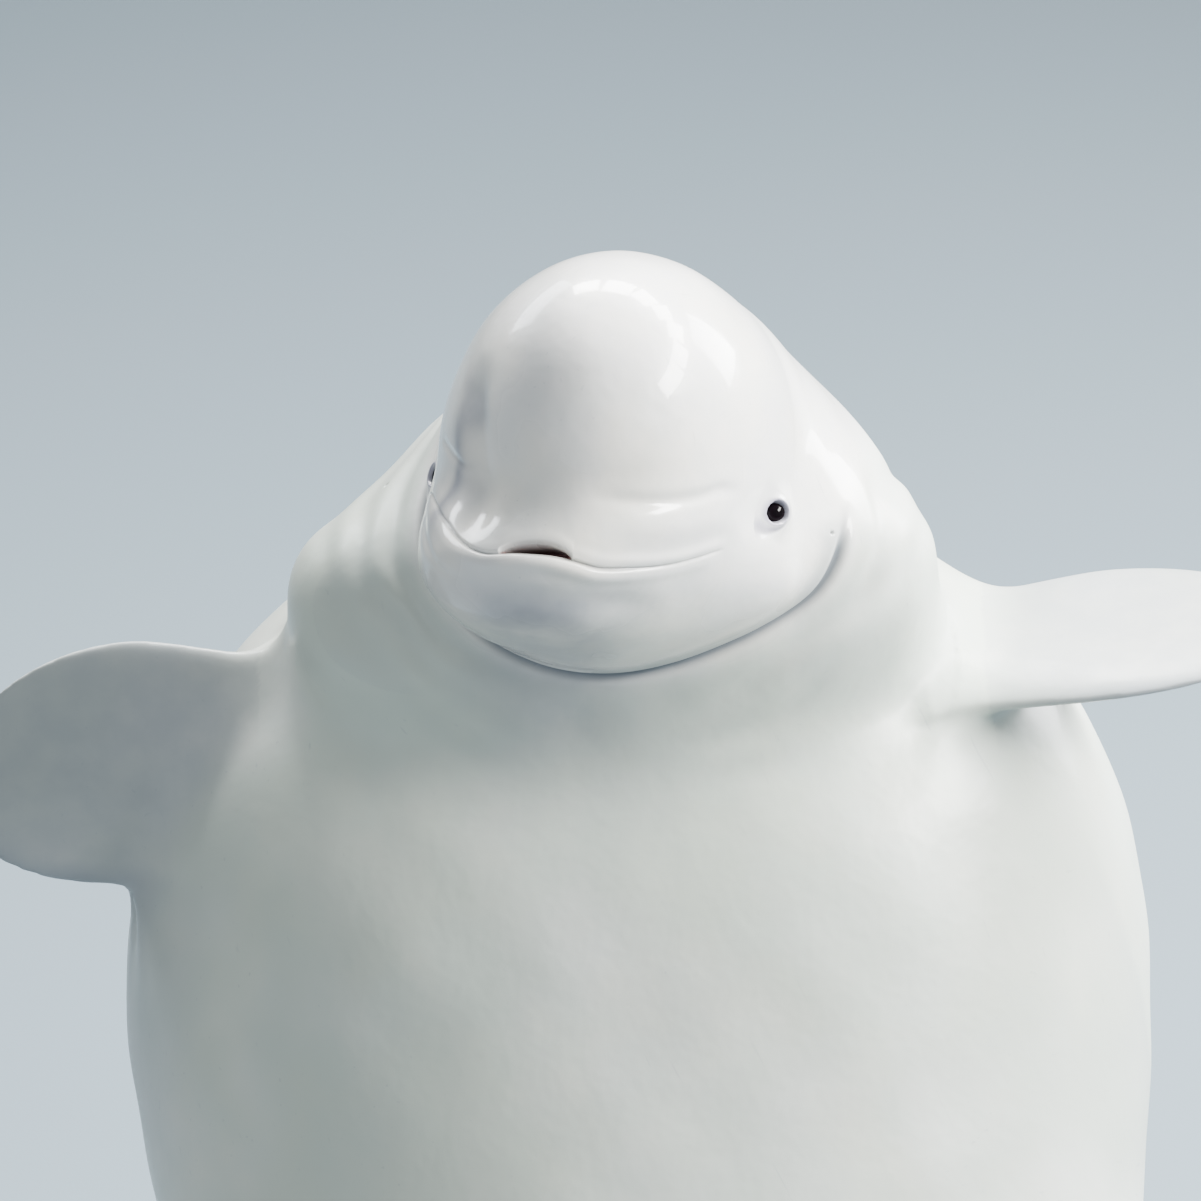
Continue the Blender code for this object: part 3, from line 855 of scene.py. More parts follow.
@dataclass(frozen=True)
class Mouth:
    """Mouth line round the face, slightly open in front.

    The line is read by the angle from straight ahead, positive to the whale's left.
    """

    line: tuple[tuple[float, float], ...] = (
        (-52.0, -0.012),
        (-40.0, -0.017),
        (-29.8, -0.026),
        (-22.7, -0.035),
        (-15.3, -0.049),
        (-11.2, -0.0555),
        (-7.3, -0.0585),
        (-4.6, -0.0572),
        (-1.3, -0.0550),
        (2.3, -0.0540),
        (6.4, -0.0540),
        (11.0, -0.0568),
        (16.2, -0.0618),
        (25.0, -0.0602),
        (35.9, -0.0540),
        (46.4, -0.0450),
        (54.1, -0.0380),
        (60.0, -0.0350),
    )
    open_from: float = -4.6
    open_to: float = 11.0
    open_height: float = 0.0124
    least_gap: float = 0.0006
    cavity_depth: float = 0.030
    cavity_wall: float = 0.0022
    groove_depth: float = 0.0050
    groove_width: float = 0.0018
    corner: float = 57.0
    corner_fade: float = 9.0
    lip_height: float = 0.0058
    lip_place: float = -0.0085
    lip_width: float = 0.0090
    roll_height: float = 0.0024
    roll_place: float = 0.0080
    roll_width: float = 0.0062

    def offset(self, surface: Surface) -> np.ndarray:
        """Distance above the mouth line, measured along the surface.

        Args:
            surface: The skin to shape and mark.

        Returns:
            A distance for each point of the skin.
        """
        angle = surface.angle
        above = surface.in_head[:, 2] - curve(angle, self.line)
        rise = (curve(angle + 0.5, self.line) - curve(angle - 0.5, self.line)) * 180.0 / math.pi
        x, y = surface.in_head[:, 0], surface.in_head[:, 1]
        flat = np.maximum(x * x + y * y, 1e-4)
        steep = np.column_stack([rise * y / flat, -rise * x / flat, np.ones(len(x))])
        steep -= surface.head_normal * (steep * surface.head_normal).sum(axis=1)[:, None]
        return above / np.maximum(np.linalg.norm(steep, axis=1), 0.3)

    def gap(self, angle: np.ndarray) -> np.ndarray:
        """Height of the opening at an angle."""
        share = np.clip((angle - self.open_from) / (self.open_to - self.open_from), 0.0, 1.0)
        return self.open_height * np.sin(math.pi * share) ** 0.52

    def carve(self, surface: Surface) -> None:
        """Cuts the line and the opening, shapes both lips, and paints shade into the opening and along the
        groove.

        Args:
            surface: The skin to shape and mark.
        """
        front = surface.on_head & (surface.in_head[:, 0] > 0.02)
        away = self.offset(surface)
        angle = np.where(front, surface.angle, 180.0)
        gap = self.gap(angle)
        inner = np.minimum(away, gap - away)
        open_here = gap > self.least_gap
        hole = ramp(inner, 0.0, self.cavity_wall) * open_here
        present = 1.0 - ramp(np.abs(angle), self.corner - self.corner_fade, self.corner)
        present = np.where(front, present, 0.0)
        tight = bump(np.where(away > 0, np.maximum(away - gap, 0.0), away), self.groove_width)
        soft = 0.45 + 0.55 * bump(angle - 3.0, 26.0)
        groove = self.groove_depth * soft * present * tight
        lip = self.lip_height * bump(away - self.lip_place, self.lip_width) * present
        lip *= 0.25 + 0.75 * bump(angle - 3.0, 17.0)
        above = away - gap
        roll = self.roll_height * bump(above - self.roll_place, self.roll_width) * present
        roll *= 0.25 + 0.75 * ramp(angle, 8.0, 26.0)
        surface.sink(groove - lip - roll + self.cavity_depth * hole)
        # Mouth mask: the inside of the opening, its brown flesh darkened further as painted shade in the
        # cavity.
        surface.mark("mouth", ramp(inner, 0.0004, 0.0016) * open_here)
        strip = 1.0 - ramp(away, 0.0018, 0.0044)
        surface.mark("gum", ramp(inner, 0.0, self.least_gap) * strip * open_here)
        # Painted shade along the groove of the mouth line, in the crease mask.
        surface.mark("crease", 0.34 * tight * present * soft * (1.0 - hole))
        surface.mark("lip", bump(away - self.lip_place, 2.2 * self.lip_width) * present)


@dataclass(frozen=True)
class FaceCrease:
    """A soft crease across the face.

    Attributes:
        path: Angles from straight ahead and heights in the head's axes.
        depth: How far it sinks; negative for a raised fold.
        width: Its half width.
        fade: How many degrees it takes to fade at each end.
        tint: How dark the crease is drawn, as painted shade.
    """

    path: tuple[tuple[float, float], ...]
    depth: float
    width: float
    fade: float = 8.0
    tint: float = 0.0

    def carve(self, surface: Surface) -> None:
        """Sinks the crease.

        Args:
            surface: The skin to shape and mark.
        """
        first, last = self.path[0][0], self.path[-1][0]
        inside = ramp(surface.angle, first - self.fade, first + self.fade * 0.5)
        inside *= 1.0 - ramp(surface.angle, last - self.fade * 0.5, last + self.fade)
        inside *= surface.on_head
        away = surface.in_head[:, 2] - curve(surface.angle, self.path)
        shape = bump(away, self.width) * inside
        surface.sink(self.depth * shape)
        # Painted shade in the crease, kept in the crease mask.
        if self.tint:
            surface.mark("crease", self.tint * shape)


@dataclass(frozen=True)
class SideCrease:
    """A soft crease that runs up and down the side of the face.

    Attributes:
        path: Heights in the head's axes and angles from straight ahead.
        depth: How far it sinks.
        width: Its half width in degrees.
        fade: How far it takes to fade at each end.
        tint: How dark the crease is drawn, as painted shade.
    """

    path: tuple[tuple[float, float], ...]
    depth: float
    width: float
    fade: float = 0.03
    tint: float = 0.0

    def carve(self, surface: Surface) -> None:
        """Sinks the crease.

        Args:
            surface: The skin to shape and mark.
        """
        high = surface.in_head[:, 2]
        first, last = self.path[0][0], self.path[-1][0]
        inside = ramp(high, first - self.fade, first + 0.3 * self.fade)
        inside *= 1.0 - ramp(high, last - 0.3 * self.fade, last + self.fade)
        inside *= surface.on_head
        away = surface.angle - curve(high, self.path)
        shape = bump(away, self.width) * inside
        surface.sink(self.depth * shape)
        # Painted shade in the crease, kept in the crease mask.
        if self.tint:
            surface.mark("crease", self.tint * shape)


@dataclass(frozen=True)
class Eyelids:
    """Lids that part over each eyeball."""

    inner_gap: float = 0.0035
    edge: float = 0.09
    rim: float = 0.0006
    fold_place: float = 1.52
    fold_depth: float = 0.0013
    fold_width: float = 0.14
    hollow: float = 0.0050
    hollow_place: tuple[float, float] = (0.046, -0.004)
    hollow_size: tuple[float, float] = (0.026, 0.022)
    reach: float = 0.060

    def carve(self, surface: Surface, eye: EyeSocket) -> None:
        """Opens the lids of one eye, and paints shade round them and in their fold.

        Args:
            surface: The skin to shape and mark.
            eye: Seat of the eyeball under the lids.
        """
        near = np.linalg.norm(surface.points - eye.middle, axis=1) < self.reach
        seen = np.where(near, eye.opening(surface.points), 9.0)
        inside = 1.0 - ramp(seen, 1.0 - self.edge, 1.0)
        above = np.linalg.norm(surface.points - eye.middle, axis=1) - eye.radius
        surface.sink(inside * (np.where(near, above, 0.0) + self.inner_gap))
        surface.sink(-self.rim * bump(seen - 1.12, 0.12) * near)
        below = (surface.points - eye.middle) @ eye.gaze
        lower = ramp(-below[:, 2], -0.012, 0.006) * 0.8 + 0.2
        fold = bump(seen - self.fold_place, self.fold_width) * near * lower
        surface.sink(self.fold_depth * fold)
        middle = eye.head.place(eye.middle[None, :])[0]
        ahead = surface.in_head[:, 0] - middle[0] - self.hollow_place[0]
        above = surface.in_head[:, 2] - middle[2] - self.hollow_place[1]
        same_side = surface.in_head[:, 1] * eye.side.value > 0.05
        size = (ahead / self.hollow_size[0]) ** 2 + (above / self.hollow_size[1]) ** 2
        surface.sink(self.hollow * np.exp(-size) * same_side * surface.on_head)
        surface.mark("lid", inside)
        # Rim mask: painted shade round the lids, darker below the eye.
        surface.mark("rim", bump(seen - 1.05, 0.17) * near)
        surface.mark("rim", 0.80 * bump(seen - 1.36, 0.24) * near * lower)
        # Painted shade in the lid fold.
        surface.mark("crease", 0.25 * fold)


@dataclass(frozen=True)
class NeckFolds:
    """Crease under the jaw and folds round the neck, with painted shade in and below the crease."""

    depth: float = 0.0085
    width: float = 0.0060
    folds: tuple[tuple[float, float, float], ...] = (
        (0.042, 0.0045, 0.012),
        (0.078, 0.0036, 0.015),
        (0.122, 0.0030, 0.020),
    )

    def carve(self, surface: Surface) -> None:
        """Sinks the creases between head and neck, and paints shade in and below them.

        Args:
            surface: The skin to shape and mark.
        """
        form = surface.form
        near = surface.on_head
        p = surface.points[near]
        between = np.full(len(surface.points), FAR)
        between[near] = form.head.field(p) - form.rest_of_body(p)
        _, left, up = surface.in_head.T
        under = 1.0 - ramp(up, -0.050, 0.020)
        crease = bump(between, self.width)
        surface.sink(crease * self.depth * under)
        # Painted shade: a dark line along the crease under the jaw.
        surface.mark("crease", 1.25 * crease * under)
        # Painted shadow below the jaw, kept in the cool mask.
        shadow = ramp(between, -0.003, 0.004) * bump(np.maximum(between - 0.030, 0.0), 0.070)
        surface.mark("cool", 0.60 * shadow * bump(left + 0.045, 0.105) * under)
        surface.mark("sage", ramp(between, -0.004, 0.030))
        # Painted shade on the jaw's underside, greyed through the sage and cool masks.
        jaw_underside_shade = ramp(between, -0.034, -0.012) * ramp(surface.angle, 14.0, 36.0) * near
        jaw_underside_shade *= (1.0 - ramp(up, -0.06, 0.03)) * (1.0 - ramp(between, -0.003, 0.006))
        surface.mark("sage", 0.75 * jaw_underside_shade)
        surface.mark("cool", 0.50 * jaw_underside_shade)
        waver = Waves(0.16, 5).value(surface.points) * 0.007
        flank = ramp(np.abs(left), 0.07, 0.16) * (1.0 - ramp(up, 0.08, 0.18))
        for place, depth, width in self.folds:
            fold = bump(between - place - waver, width) * flank
            surface.sink(depth * fold)
            # Faint painted shade in each fold.
            surface.mark("crease", 0.07 * fold)


@dataclass(frozen=True)
class Blowhole:
    """Crescent slit on the crown, behind and above the eyes."""

    place: tuple[float, float] = (-0.075, 0.012)
    radius: float = 0.026
    spread: float = 78.0
    depth: float = 0.0090
    width: float = 0.0022
    rim: float = 0.0030
    dip: float = 0.0060

    def carve(self, surface: Surface) -> None:
        """Cuts the slit, with a raised rim and a dip behind it, and paints shade into the slit.

        Args:
            surface: The skin to shape and mark.
        """
        ahead = surface.in_head[:, 0] - self.place[0]
        left = surface.in_head[:, 1] - self.place[1]
        top = surface.on_head & (surface.in_head[:, 2] > 0.10)
        far = np.hypot(ahead, left)
        angle = np.degrees(np.arctan2(left, -ahead))
        inside = (1.0 - ramp(np.abs(angle), self.spread - 22.0, self.spread)) * top
        slit = bump(far - self.radius, self.width) * inside
        rim = bump(far - self.radius + 0.007, 0.0045) * inside
        behind = bump(far - self.radius - 0.014, 0.012) * inside
        surface.sink(self.depth * slit - self.rim * rim + self.dip * 0.5 * behind)
        # Painted shade in the slit.
        surface.mark("crease", slit)


@dataclass(frozen=True)
class SmallMarks:
    """Ear pits, navel, slits of the belly, notches of the ridge and edges of the fins."""

    ear: tuple[float, float] = (-0.072, -0.016)
    ear_width: float = 0.0015
    ear_depth: float = 0.004
    navel: float = 1.98
    slit: tuple[float, float] = (1.34, 1.56)
    vent: float = 1.20
    vent_length: float = 0.028
    slit_fade: float = 0.02
    slit_depth: float = 0.009
    slit_width: float = 0.006
    lip_width: float = 0.030
    lip_height: float = 0.004
    navel_depth: float = 0.007
    navel_width: float = 0.014
    navel_ring: float = 0.034
    ring_height: float = 0.003
    navel_narrow: float = 1.6
    notch_length: float = 0.048
    notch_depth: float = 0.0022

    def carve(self, surface: Surface) -> None:
        """Cuts every small mark, and paints shade into the pits and slits.

        Args:
            surface: The skin to shape and mark.
        """
        ahead = surface.in_head[:, 0] - self.ear[0]
        above = surface.in_head[:, 2] - self.ear[1]
        lateral = surface.on_head & (np.abs(surface.in_head[:, 1]) > 0.1)
        ear = bump(np.hypot(ahead, above), self.ear_width) * lateral
        surface.sink(self.ear_depth * ear)
        # Painted shade in the ear pit.
        surface.mark("crease", 0.5 * ear)
        x, s = surface.points[:, 0], surface.along
        belly = surface.height > 0.05
        low, high = self.slit
        fade = self.slit_fade
        long = ramp(s, low - fade, low + fade) * (1.0 - ramp(s, high - fade, high + fade))
        along_belly = belly * np.maximum(long, bump(s - self.vent, self.vent_length))
        line = bump(x, self.slit_width) * along_belly
        surface.sink(self.slit_depth * line - self.lip_height * bump(x, self.lip_width) * along_belly)
        # Painted shade in the belly slits.
        surface.mark("crease", 0.6 * line)
        button = np.hypot(x * self.navel_narrow, s - self.navel)
        pit = self.navel_depth * bump(button, self.navel_width)
        surface.sink((pit - self.ring_height * bump(button, self.navel_ring)) * belly)
        # Painted shade in the navel.
        surface.mark("crease", 0.35 * bump(button, 0.012) * belly)
        trunk = surface.form.trunk
        along = bump(s - trunk.ridge_place, trunk.ridge_length)
        crest = bump(x, 0.5 * trunk.ridge_width) * along * (surface.height < 0)
        teeth = np.abs(np.sin(math.pi * s / self.notch_length)) ** 3
        surface.sink(self.notch_depth * crest * teeth)
        surface.mark("margin", 0.45 * crest)
        self.mark_fins(surface)

    def mark_fins(self, surface: Surface) -> None:
        """Darkens the rear edges of flippers and flukes, and paints shade on the flipper blades.

        Args:
            surface: The skin to shape and mark.
        """
        for flipper in surface.form.flippers:
            t, across, _ = flipper.local(surface.points)
            half, middle, _ = flipper.section(np.clip(t, 0.0, flipper.end))
            near = (t > 0.15) & (t < 1.05)
            near &= np.linalg.norm(surface.points - flipper.frame[0], axis=1) < flipper.reach
            rear = ramp(-(across - middle), half - 0.030, half - 0.004)
            tip = ramp(t, 0.90, 1.0)
            surface.mark("margin", np.maximum(rear * ramp(t, 0.25, 0.6), tip) * near * 0.8)
            # Painted shade on each flipper's blade, kept in the cool mask.
            blade = bump(np.maximum(flipper.field(surface.points), 0.0), 0.030)
            surface.mark("cool", 0.60 * blade * ramp(t, 0.0, 0.35) * near)
        u, ahead, _ = surface.form.flukes.local(surface.points)
        _, rear = surface.form.flukes.edges(np.clip(u, 0.0, 0.985))
        near = surface.along < 0.45
        edge = 1.0 - ramp(ahead - rear, 0.004, 0.040)
        surface.mark("margin", edge * near * ramp(u, 0.03, 0.10))


@dataclass(frozen=True)
class PaintedFaceShade:
    """Painted shade on the face: under the lip, beside the muzzle and on the far cheek.

    Places are angles from straight ahead and heights in the head's axes, each with a spread.
    """

    chin: tuple[float, float] = (7.0, -0.132)
    chin_spread: tuple[float, float] = (23.0, 0.046)
    beside: float = -26.0
    beside_spread: float = 7.0
    beside_top: tuple[float, float] = (0.06, 0.16)
    beside_foot: tuple[float, float] = (-0.07, -0.02)
    beside_share: float = 0.8
    cheek: float = -55.0
    cheek_spread: float = 26.0
    cheek_top: tuple[float, float] = (-0.02, 0.08)
    cheek_share: float = 0.45
    waver_angle: float = 3.0
    waver_height: float = 0.004

    def carve(self, surface: Surface) -> None:
        """Paints the shade into the cool mask.

        Args:
            surface: The skin to shape and mark.
        """
        waver = Waves(0.09, 7).value(surface.points)
        angle = surface.angle + self.waver_angle * waver
        high = surface.in_head[:, 2] + self.waver_height * waver
        front = surface.on_head & (surface.in_head[:, 0] > 0.0)
        chin = bump(angle - self.chin[0], self.chin_spread[0])
        chin *= bump(high - self.chin[1], self.chin_spread[1])
        beside = bump(angle - self.beside, self.beside_spread)
        beside *= (1.0 - ramp(high, *self.beside_top)) * ramp(high, *self.beside_foot)
        cheek = bump(angle - self.cheek, self.cheek_spread) * (1.0 - ramp(high, *self.cheek_top))
        # Cool mask: painted shade under the lip, beside the muzzle and on the far cheek.
        cool = chin + self.beside_share * beside + self.cheek_share * cheek
        surface.mark("cool", cool * front)


@dataclass(frozen=True)
class Swells:
    """Low swells of soft flesh, less on the head and on the fins."""

    broad: tuple[float, float] = (0.55, 0.0028)
    close: tuple[float, float] = (0.17, 0.0010)
    on_face: tuple[float, float] = (0.11, 0.00045)
    face_edge: tuple[float, float] = (0.20, 0.55)
    fin_reach: float = 0.03
    fin_share: float = 0.8

    def carve(self, surface: Surface) -> None:
        """Raises and lowers the skin.

        Args:
            surface: The skin to shape and mark.
        """
        flesh = ramp(np.linalg.norm(surface.in_head, axis=1), *self.face_edge)
        fins = np.zeros(len(surface.points))
        for flipper in surface.form.flippers:
            fins = np.maximum(fins, bump(flipper.field(surface.points), self.fin_reach))
        broad = Waves(self.broad[0], 1).value(surface.points) * self.broad[1]
        close = Waves(self.close[0], 2).value(surface.points) * self.close[1]
        surface.sink((broad + close) * flesh * (1.0 - self.fin_share * fins))
        face = Waves(self.on_face[0], 3).value(surface.points) * self.on_face[1]
        surface.sink(face * (1.0 - flesh))


@dataclass
class WhaleSkin:
    """One skin over the whole whale."""

    form: WhaleForm
    flesh: tuple[str, ...] = (
        "head",
        "lower_jaw",
        "neck",
        "trunk",
        "tail_stock",
        "fluke_left",
        "fluke_right",
        "flipper_left",
        "flipper_right",
    )
    swelling: float = 0.008
    voxel: float = 0.0095
    relax_rounds: int = 5

    def build(self) -> bpy.types.Object:
        """Builds the skin and carves it.

        Returns:
            The finished piece, riding on the body.
        """
        skin = self.joined()
        self.remesh(skin)
        self.even_out(skin.data)
        for level in range(1, 5):
            self.refine(skin.data, level)
        self.carve(skin.data)
        skin.data.polygons.foreach_set("use_smooth", [True] * len(skin.data.polygons))
        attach(skin, BODY)
        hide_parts(*self.flesh)
        return skin

    def joined(self) -> bpy.types.Object:
        """The parted solids and the eyeballs in one mesh, swollen so that thin edges last.

        Returns:
            The joined object.
        """
        bm = bmesh.new()
        for name in self.flesh + ("eye_left", "eye_right"):
            bm.from_mesh(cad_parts[name].data)
        bmesh.ops.remove_doubles(bm, verts=bm.verts, dist=1e-6)
        bm.normal_update()
        for vert in bm.verts:
            vert.co += vert.normal * self.swelling
        mesh = bpy.data.meshes.new("whale_skin")
        bm.to_mesh(mesh)
        bm.free()
        skin = bpy.data.objects.new("whale_skin", mesh)
        bpy.context.scene.collection.objects.link(skin)
        return skin

    def remesh(self, skin: bpy.types.Object) -> None:
        """Closes the thin cuts with an even net of faces.

        Args:
            skin: The object to remesh.
        """
        modifier = skin.modifiers.new("net", "REMESH")
        modifier.mode = "VOXEL"
        modifier.voxel_size = self.voxel
        graph = bpy.context.evaluated_depsgraph_get()
        evaluated = skin.evaluated_get(graph)
        net = bpy.data.meshes.new_from_object(evaluated)
        skin.modifiers.clear()
        skin.data = net
        net.name = "whale_skin"

    def even_out(self, mesh: bpy.types.Mesh) -> None:
        """Settles the net on the form and evens its faces.

        Args:
            mesh: The skin's mesh.
        """
        points = self.form.settle(read_points(mesh), rounds=4)
        ends = np.empty(len(mesh.edges) * 2, np.int32)
        mesh.edges.foreach_get("vertices", ends)
        ends = ends.reshape(-1, 2)
        count = np.bincount(ends.ravel(), minlength=len(points))[:, None]
        for _ in range(self.relax_rounds):
            total = np.zeros_like(points)
            for column in range(3):
                one = np.bincount(ends[:, 0], points[ends[:, 1], column], len(points))
                two = np.bincount(ends[:, 1], points[ends[:, 0], column], len(points))
                total[:, column] = one + two
            normal = self.form.normals(points)
            move = total / np.maximum(count, 1) - points
            move -= normal * (move * normal).sum(axis=1)[:, None]
            points = points + 0.5 * move
        write_points(mesh, self.form.settle(points, rounds=2))

    def wanted(self, points: np.ndarray) -> np.ndarray:
        """How many times the net is halved at each point.

        Args:
            points: World places.

        Returns:
            A count for each place.
        """
        head = self.form.head
        p = head.place(points)
        jaw = (np.abs(p[:, 2] + 0.08) < 0.12) & (np.abs(p[:, 0]) < 0.30) & (np.abs(p[:, 1]) < 0.30)
        between = head.field(points[jaw]) - self.form.rest_of_body(points[jaw])
        jaw[jaw] = np.abs(between) < 0.016
        far = np.linalg.norm(p, axis=1)
        level = np.where(far < 0.75, 1, 0)
        level = np.where((far < 0.36) & (p[:, 0] > -0.20), 2, level)
        angle = np.degrees(np.arctan2(p[:, 1], p[:, 0]))
        mouth = Mouth()
        level = np.where(jaw, 3, level)
        above = p[:, 2] - curve(angle, mouth.line)
        front = (p[:, 0] > 0.02) & (np.abs(angle) < 64.0)
        level = np.where(front & (np.abs(above) < 0.022), 3, level)
        opening = (angle > mouth.open_from - 3.0) & (angle < mouth.open_to + 4.0)
        level = np.where(front & opening & (above > -0.006) & (above < 0.016), 4, level)
        crown = np.hypot(p[:, 0] - Blowhole().place[0], p[:, 1] - Blowhole().place[1])
        level = np.where((crown < 0.048) & (p[:, 2] > 0.10), np.maximum(level, 3), level)
        for eye in self.form.eyes:
            away = np.linalg.norm(points - eye.middle, axis=1)
            level = np.where(away < 0.050, np.maximum(level, 3), level)
            level = np.where(away < 0.027, 4, level)
        return level

    def refine(self, mesh: bpy.types.Mesh, level: int) -> None:
        """Halves the faces that want at least this level.

        Args:
            mesh: The skin's mesh.
            level: How many halvings the faces must want.
        """
        points = read_points(mesh)
        fine = self.wanted(points) >= level
        bm = bmesh.new()
        bm.from_mesh(mesh)
        bm.verts.ensure_lookup_table()
        edges = [e for e in bm.edges if fine[e.verts[0].index] and fine[e.verts[1].index]]
        bmesh.ops.subdivide_edges(bm, edges=edges, cuts=1, use_grid_fill=True)
        bm.to_mesh(mesh)
        bm.free()
        new = read_points(mesh)
        near = self.wanted(new) >= max(level - 1, 1)
        new[near] = self.form.settle(new[near], rounds=2)
        write_points(mesh, new)

    def carve(self, mesh: bpy.types.Mesh) -> None:
        """Cuts mouth, lids, creases and marks, and stores the masks, painted shade among them.

        Args:
            mesh: The skin's mesh.
        """
        surface = Surface(self.form, read_points(mesh))
        Mouth().carve(surface)
        for eye in self.form.eyes:
            Eyelids().carve(surface, eye)
        for crease in FACE_CREASES:
            crease.carve(surface)
        NeckFolds().carve(surface)
        Blowhole().carve(surface)
        SmallMarks().carve(surface)
        PaintedFaceShade().carve(surface)
        Swells().carve(surface)
        write_points(mesh, surface.points - surface.normal * surface.depth[:, None])
        for name in ("mouth", "gum", "crease", "lip", "lid", "rim", "margin", "cool", "sage"):
            layer = mesh.attributes.new(name, "FLOAT", "POINT")
            layer.data.foreach_set("value", surface.marks[name].astype(np.float32))


FACE_CREASES = (
    FaceCrease(((22.0, 0.005), (33.6, 0.009), (42.3, 0.015), (50.2, 0.023)), 0.0034, 0.0075, 13.0),
    FaceCrease(((25.0, -0.020), (38.0, -0.016), (52.0, -0.006)), -0.0022, 0.014, 14.0),
    FaceCrease(((-46.0, 0.040), (-32.8, 0.030), (-21.6, 0.019)), 0.0022, 0.0050, 5.0),
    FaceCrease(((-40.0, -0.040), (-28.0, -0.060), (-17.0, -0.085)), 0.0016, 0.0070, 6.0),
    SideCrease(((-0.030, -14.0), (0.030, -17.5), (0.059, -19.0), (0.100, -21.5)), 0.0085, 6.0, 0.04),
    SideCrease(((0.010, 17.0), (0.050, 24.0), (0.095, 27.0)), 0.0012, 5.0),
    FaceCrease(((-24.0, -0.094), (0.0, -0.098), (30.0, -0.100)), 0.0052, 0.0190, 14.0),
)


def read_points(mesh: bpy.types.Mesh) -> np.ndarray:
    """Vertex places of a mesh.

    Args:
        mesh: Mesh to read.

    Returns:
        One row for each vertex.
    """
    flat = np.empty(len(mesh.vertices) * 3, np.float32)
    mesh.vertices.foreach_get("co", flat)
    return flat.reshape(-1, 3).astype(np.float64)


def write_points(mesh: bpy.types.Mesh, points: np.ndarray) -> None:
    """Moves the vertices of a mesh."""
    mesh.vertices.foreach_set("co", points.astype(np.float32).ravel())
    mesh.update()


class Bench:
    """Node tree under construction, with short calls for nodes and links."""

    def __init__(self, tree: bpy.types.NodeTree) -> None:
        """Keeps the tree."""
        self.tree = tree

    def add(self, kind: str, **settings: object) -> bpy.types.Node:
        """Adds a node.

        Args:
            kind: Its type, without the ShaderNode prefix.
            settings: Properties of the node.

        Returns:
            The node.
        """
        prefix = "" if kind.startswith("Node") else "ShaderNode"
        node = self.tree.nodes.new(prefix + kind)
        for name, value in settings.items():
            setattr(node, name, value)
        return node

    def feed(self, node: bpy.types.Node, **sources: object) -> bpy.types.Node:
        """Sets or links inputs, named with _ for a space.

        Args:
            node: Node to feed.
            sources: Values or sockets by input name.

        Returns:
            The node.
        """
        for name, source in sources.items():
            numbered = name[0] == "i" and name[1:].isdigit()
            socket = node.inputs[int(name[1:]) if numbered else name.replace("_", " ")]
            if isinstance(source, bpy.types.NodeSocket):
                self.tree.links.new(source, socket)
            else:
                socket.default_value = source
        return node

    def mix(self, factor: object, a: object, b: object, blend: str = "MIX") -> bpy.types.NodeSocket:
        """Mixes two colours.

        Args:
            factor: Share of the second colour.
            a: First colour or socket.
            b: Second colour or socket.
            blend: How the two are blended.

        Returns:
            The mixed colour.
        """
        node = self.add("Mix", data_type="RGBA", blend_type=blend)
        for index, source in ((0, factor), (6, a), (7, b)):
            if isinstance(source, bpy.types.NodeSocket):
                self.tree.links.new(source, node.inputs[index])
            else:
                node.inputs[index].default_value = source
        return node.outputs[2]

    def math(self, operation: str, a: object, b: object = 0.0) -> bpy.types.NodeSocket:
        """Works out one number from two.

        Args:
            operation: Name of the sum.
            a: First value or socket.
            b: Second value or socket.

        Returns:
            The result.
        """
        node = self.add("Math", operation=operation)
        self.feed(node, i0=a, i1=b)
        return node.outputs[0]

    def span(
        self, value: object, low: float, high: float, to_low: float, to_high: float
    ) -> bpy.types.NodeSocket:
        """Maps one range onto another and stays inside it.

        Args:
            value: Number to map.
            low: Start of the range.
            high: End of the range.
            to_low: What the start maps to.
            to_high: What the end maps to.

        Returns:
            The mapped number.
        """
        node = self.add("MapRange")
        self.feed(node, Value=value, From_Min=low, From_Max=high, To_Min=to_low, To_Max=to_high)
        return node.outputs["Result"]

    def mask(self, name: str) -> bpy.types.NodeSocket:
        """Reads one of the skin's masks."""
        return self.add("Attribute", attribute_name=name).outputs["Fac"]

    def place(self) -> bpy.types.NodeSocket:
        """Place on the object, in metres."""
        return self.add("TexCoord").outputs["Object"]


def new_group(
    name: str, inputs: dict[str, object], outputs: dict[str, str]
) -> tuple[bpy.types.NodeTree, Bench]:
    """Starts a node group.

    Args:
        name: Its name.
        inputs: Default values by name; None for a vector.
        outputs: Socket types by name.

    Returns:
        The group and a bench for its nodes.
    """
    group = bpy.data.node_groups.new(name, "ShaderNodeTree")
    for key, value in inputs.items():
        kind = "NodeSocketVector" if value is None else "NodeSocketFloat"
        socket = group.interface.new_socket(key, in_out="INPUT", socket_type=kind)
        if value is not None:
            socket.default_value = value
    for key, kind in outputs.items():
        group.interface.new_socket(key, in_out="OUTPUT", socket_type=kind)
    return group, Bench(group)


def cloud_group() -> bpy.types.NodeTree:
    """Soft uneven patches: inputs Place, Scale and Spread, output Mask.

    Returns:
        The group.
    """
    group, bench = new_group(
        "soft_cloud", {"Place": None, "Scale": 4.0, "Spread": 0.2}, {"Mask": "NodeSocketFloat"}
    )
    entry, leave = bench.add("NodeGroupInput"), bench.add("NodeGroupOutput")
    noise = bench.add("TexNoise")
    place, scale = entry.outputs["Place"], entry.outputs["Scale"]
    bench.feed(noise, Vector=place, Scale=scale, Detail=3.0, Roughness=0.55)
    low = bench.math("SUBTRACT", 0.5, entry.outputs["Spread"])
    high = bench.math("ADD", 0.5, entry.outputs["Spread"])
    node = bench.add("MapRange", interpolation_type="SMOOTHSTEP")
    bench.feed(node, Value=noise.outputs["Fac"], From_Min=low, From_Max=high)
    bench.tree.links.new(node.outputs["Result"], leave.inputs["Mask"])
    return group


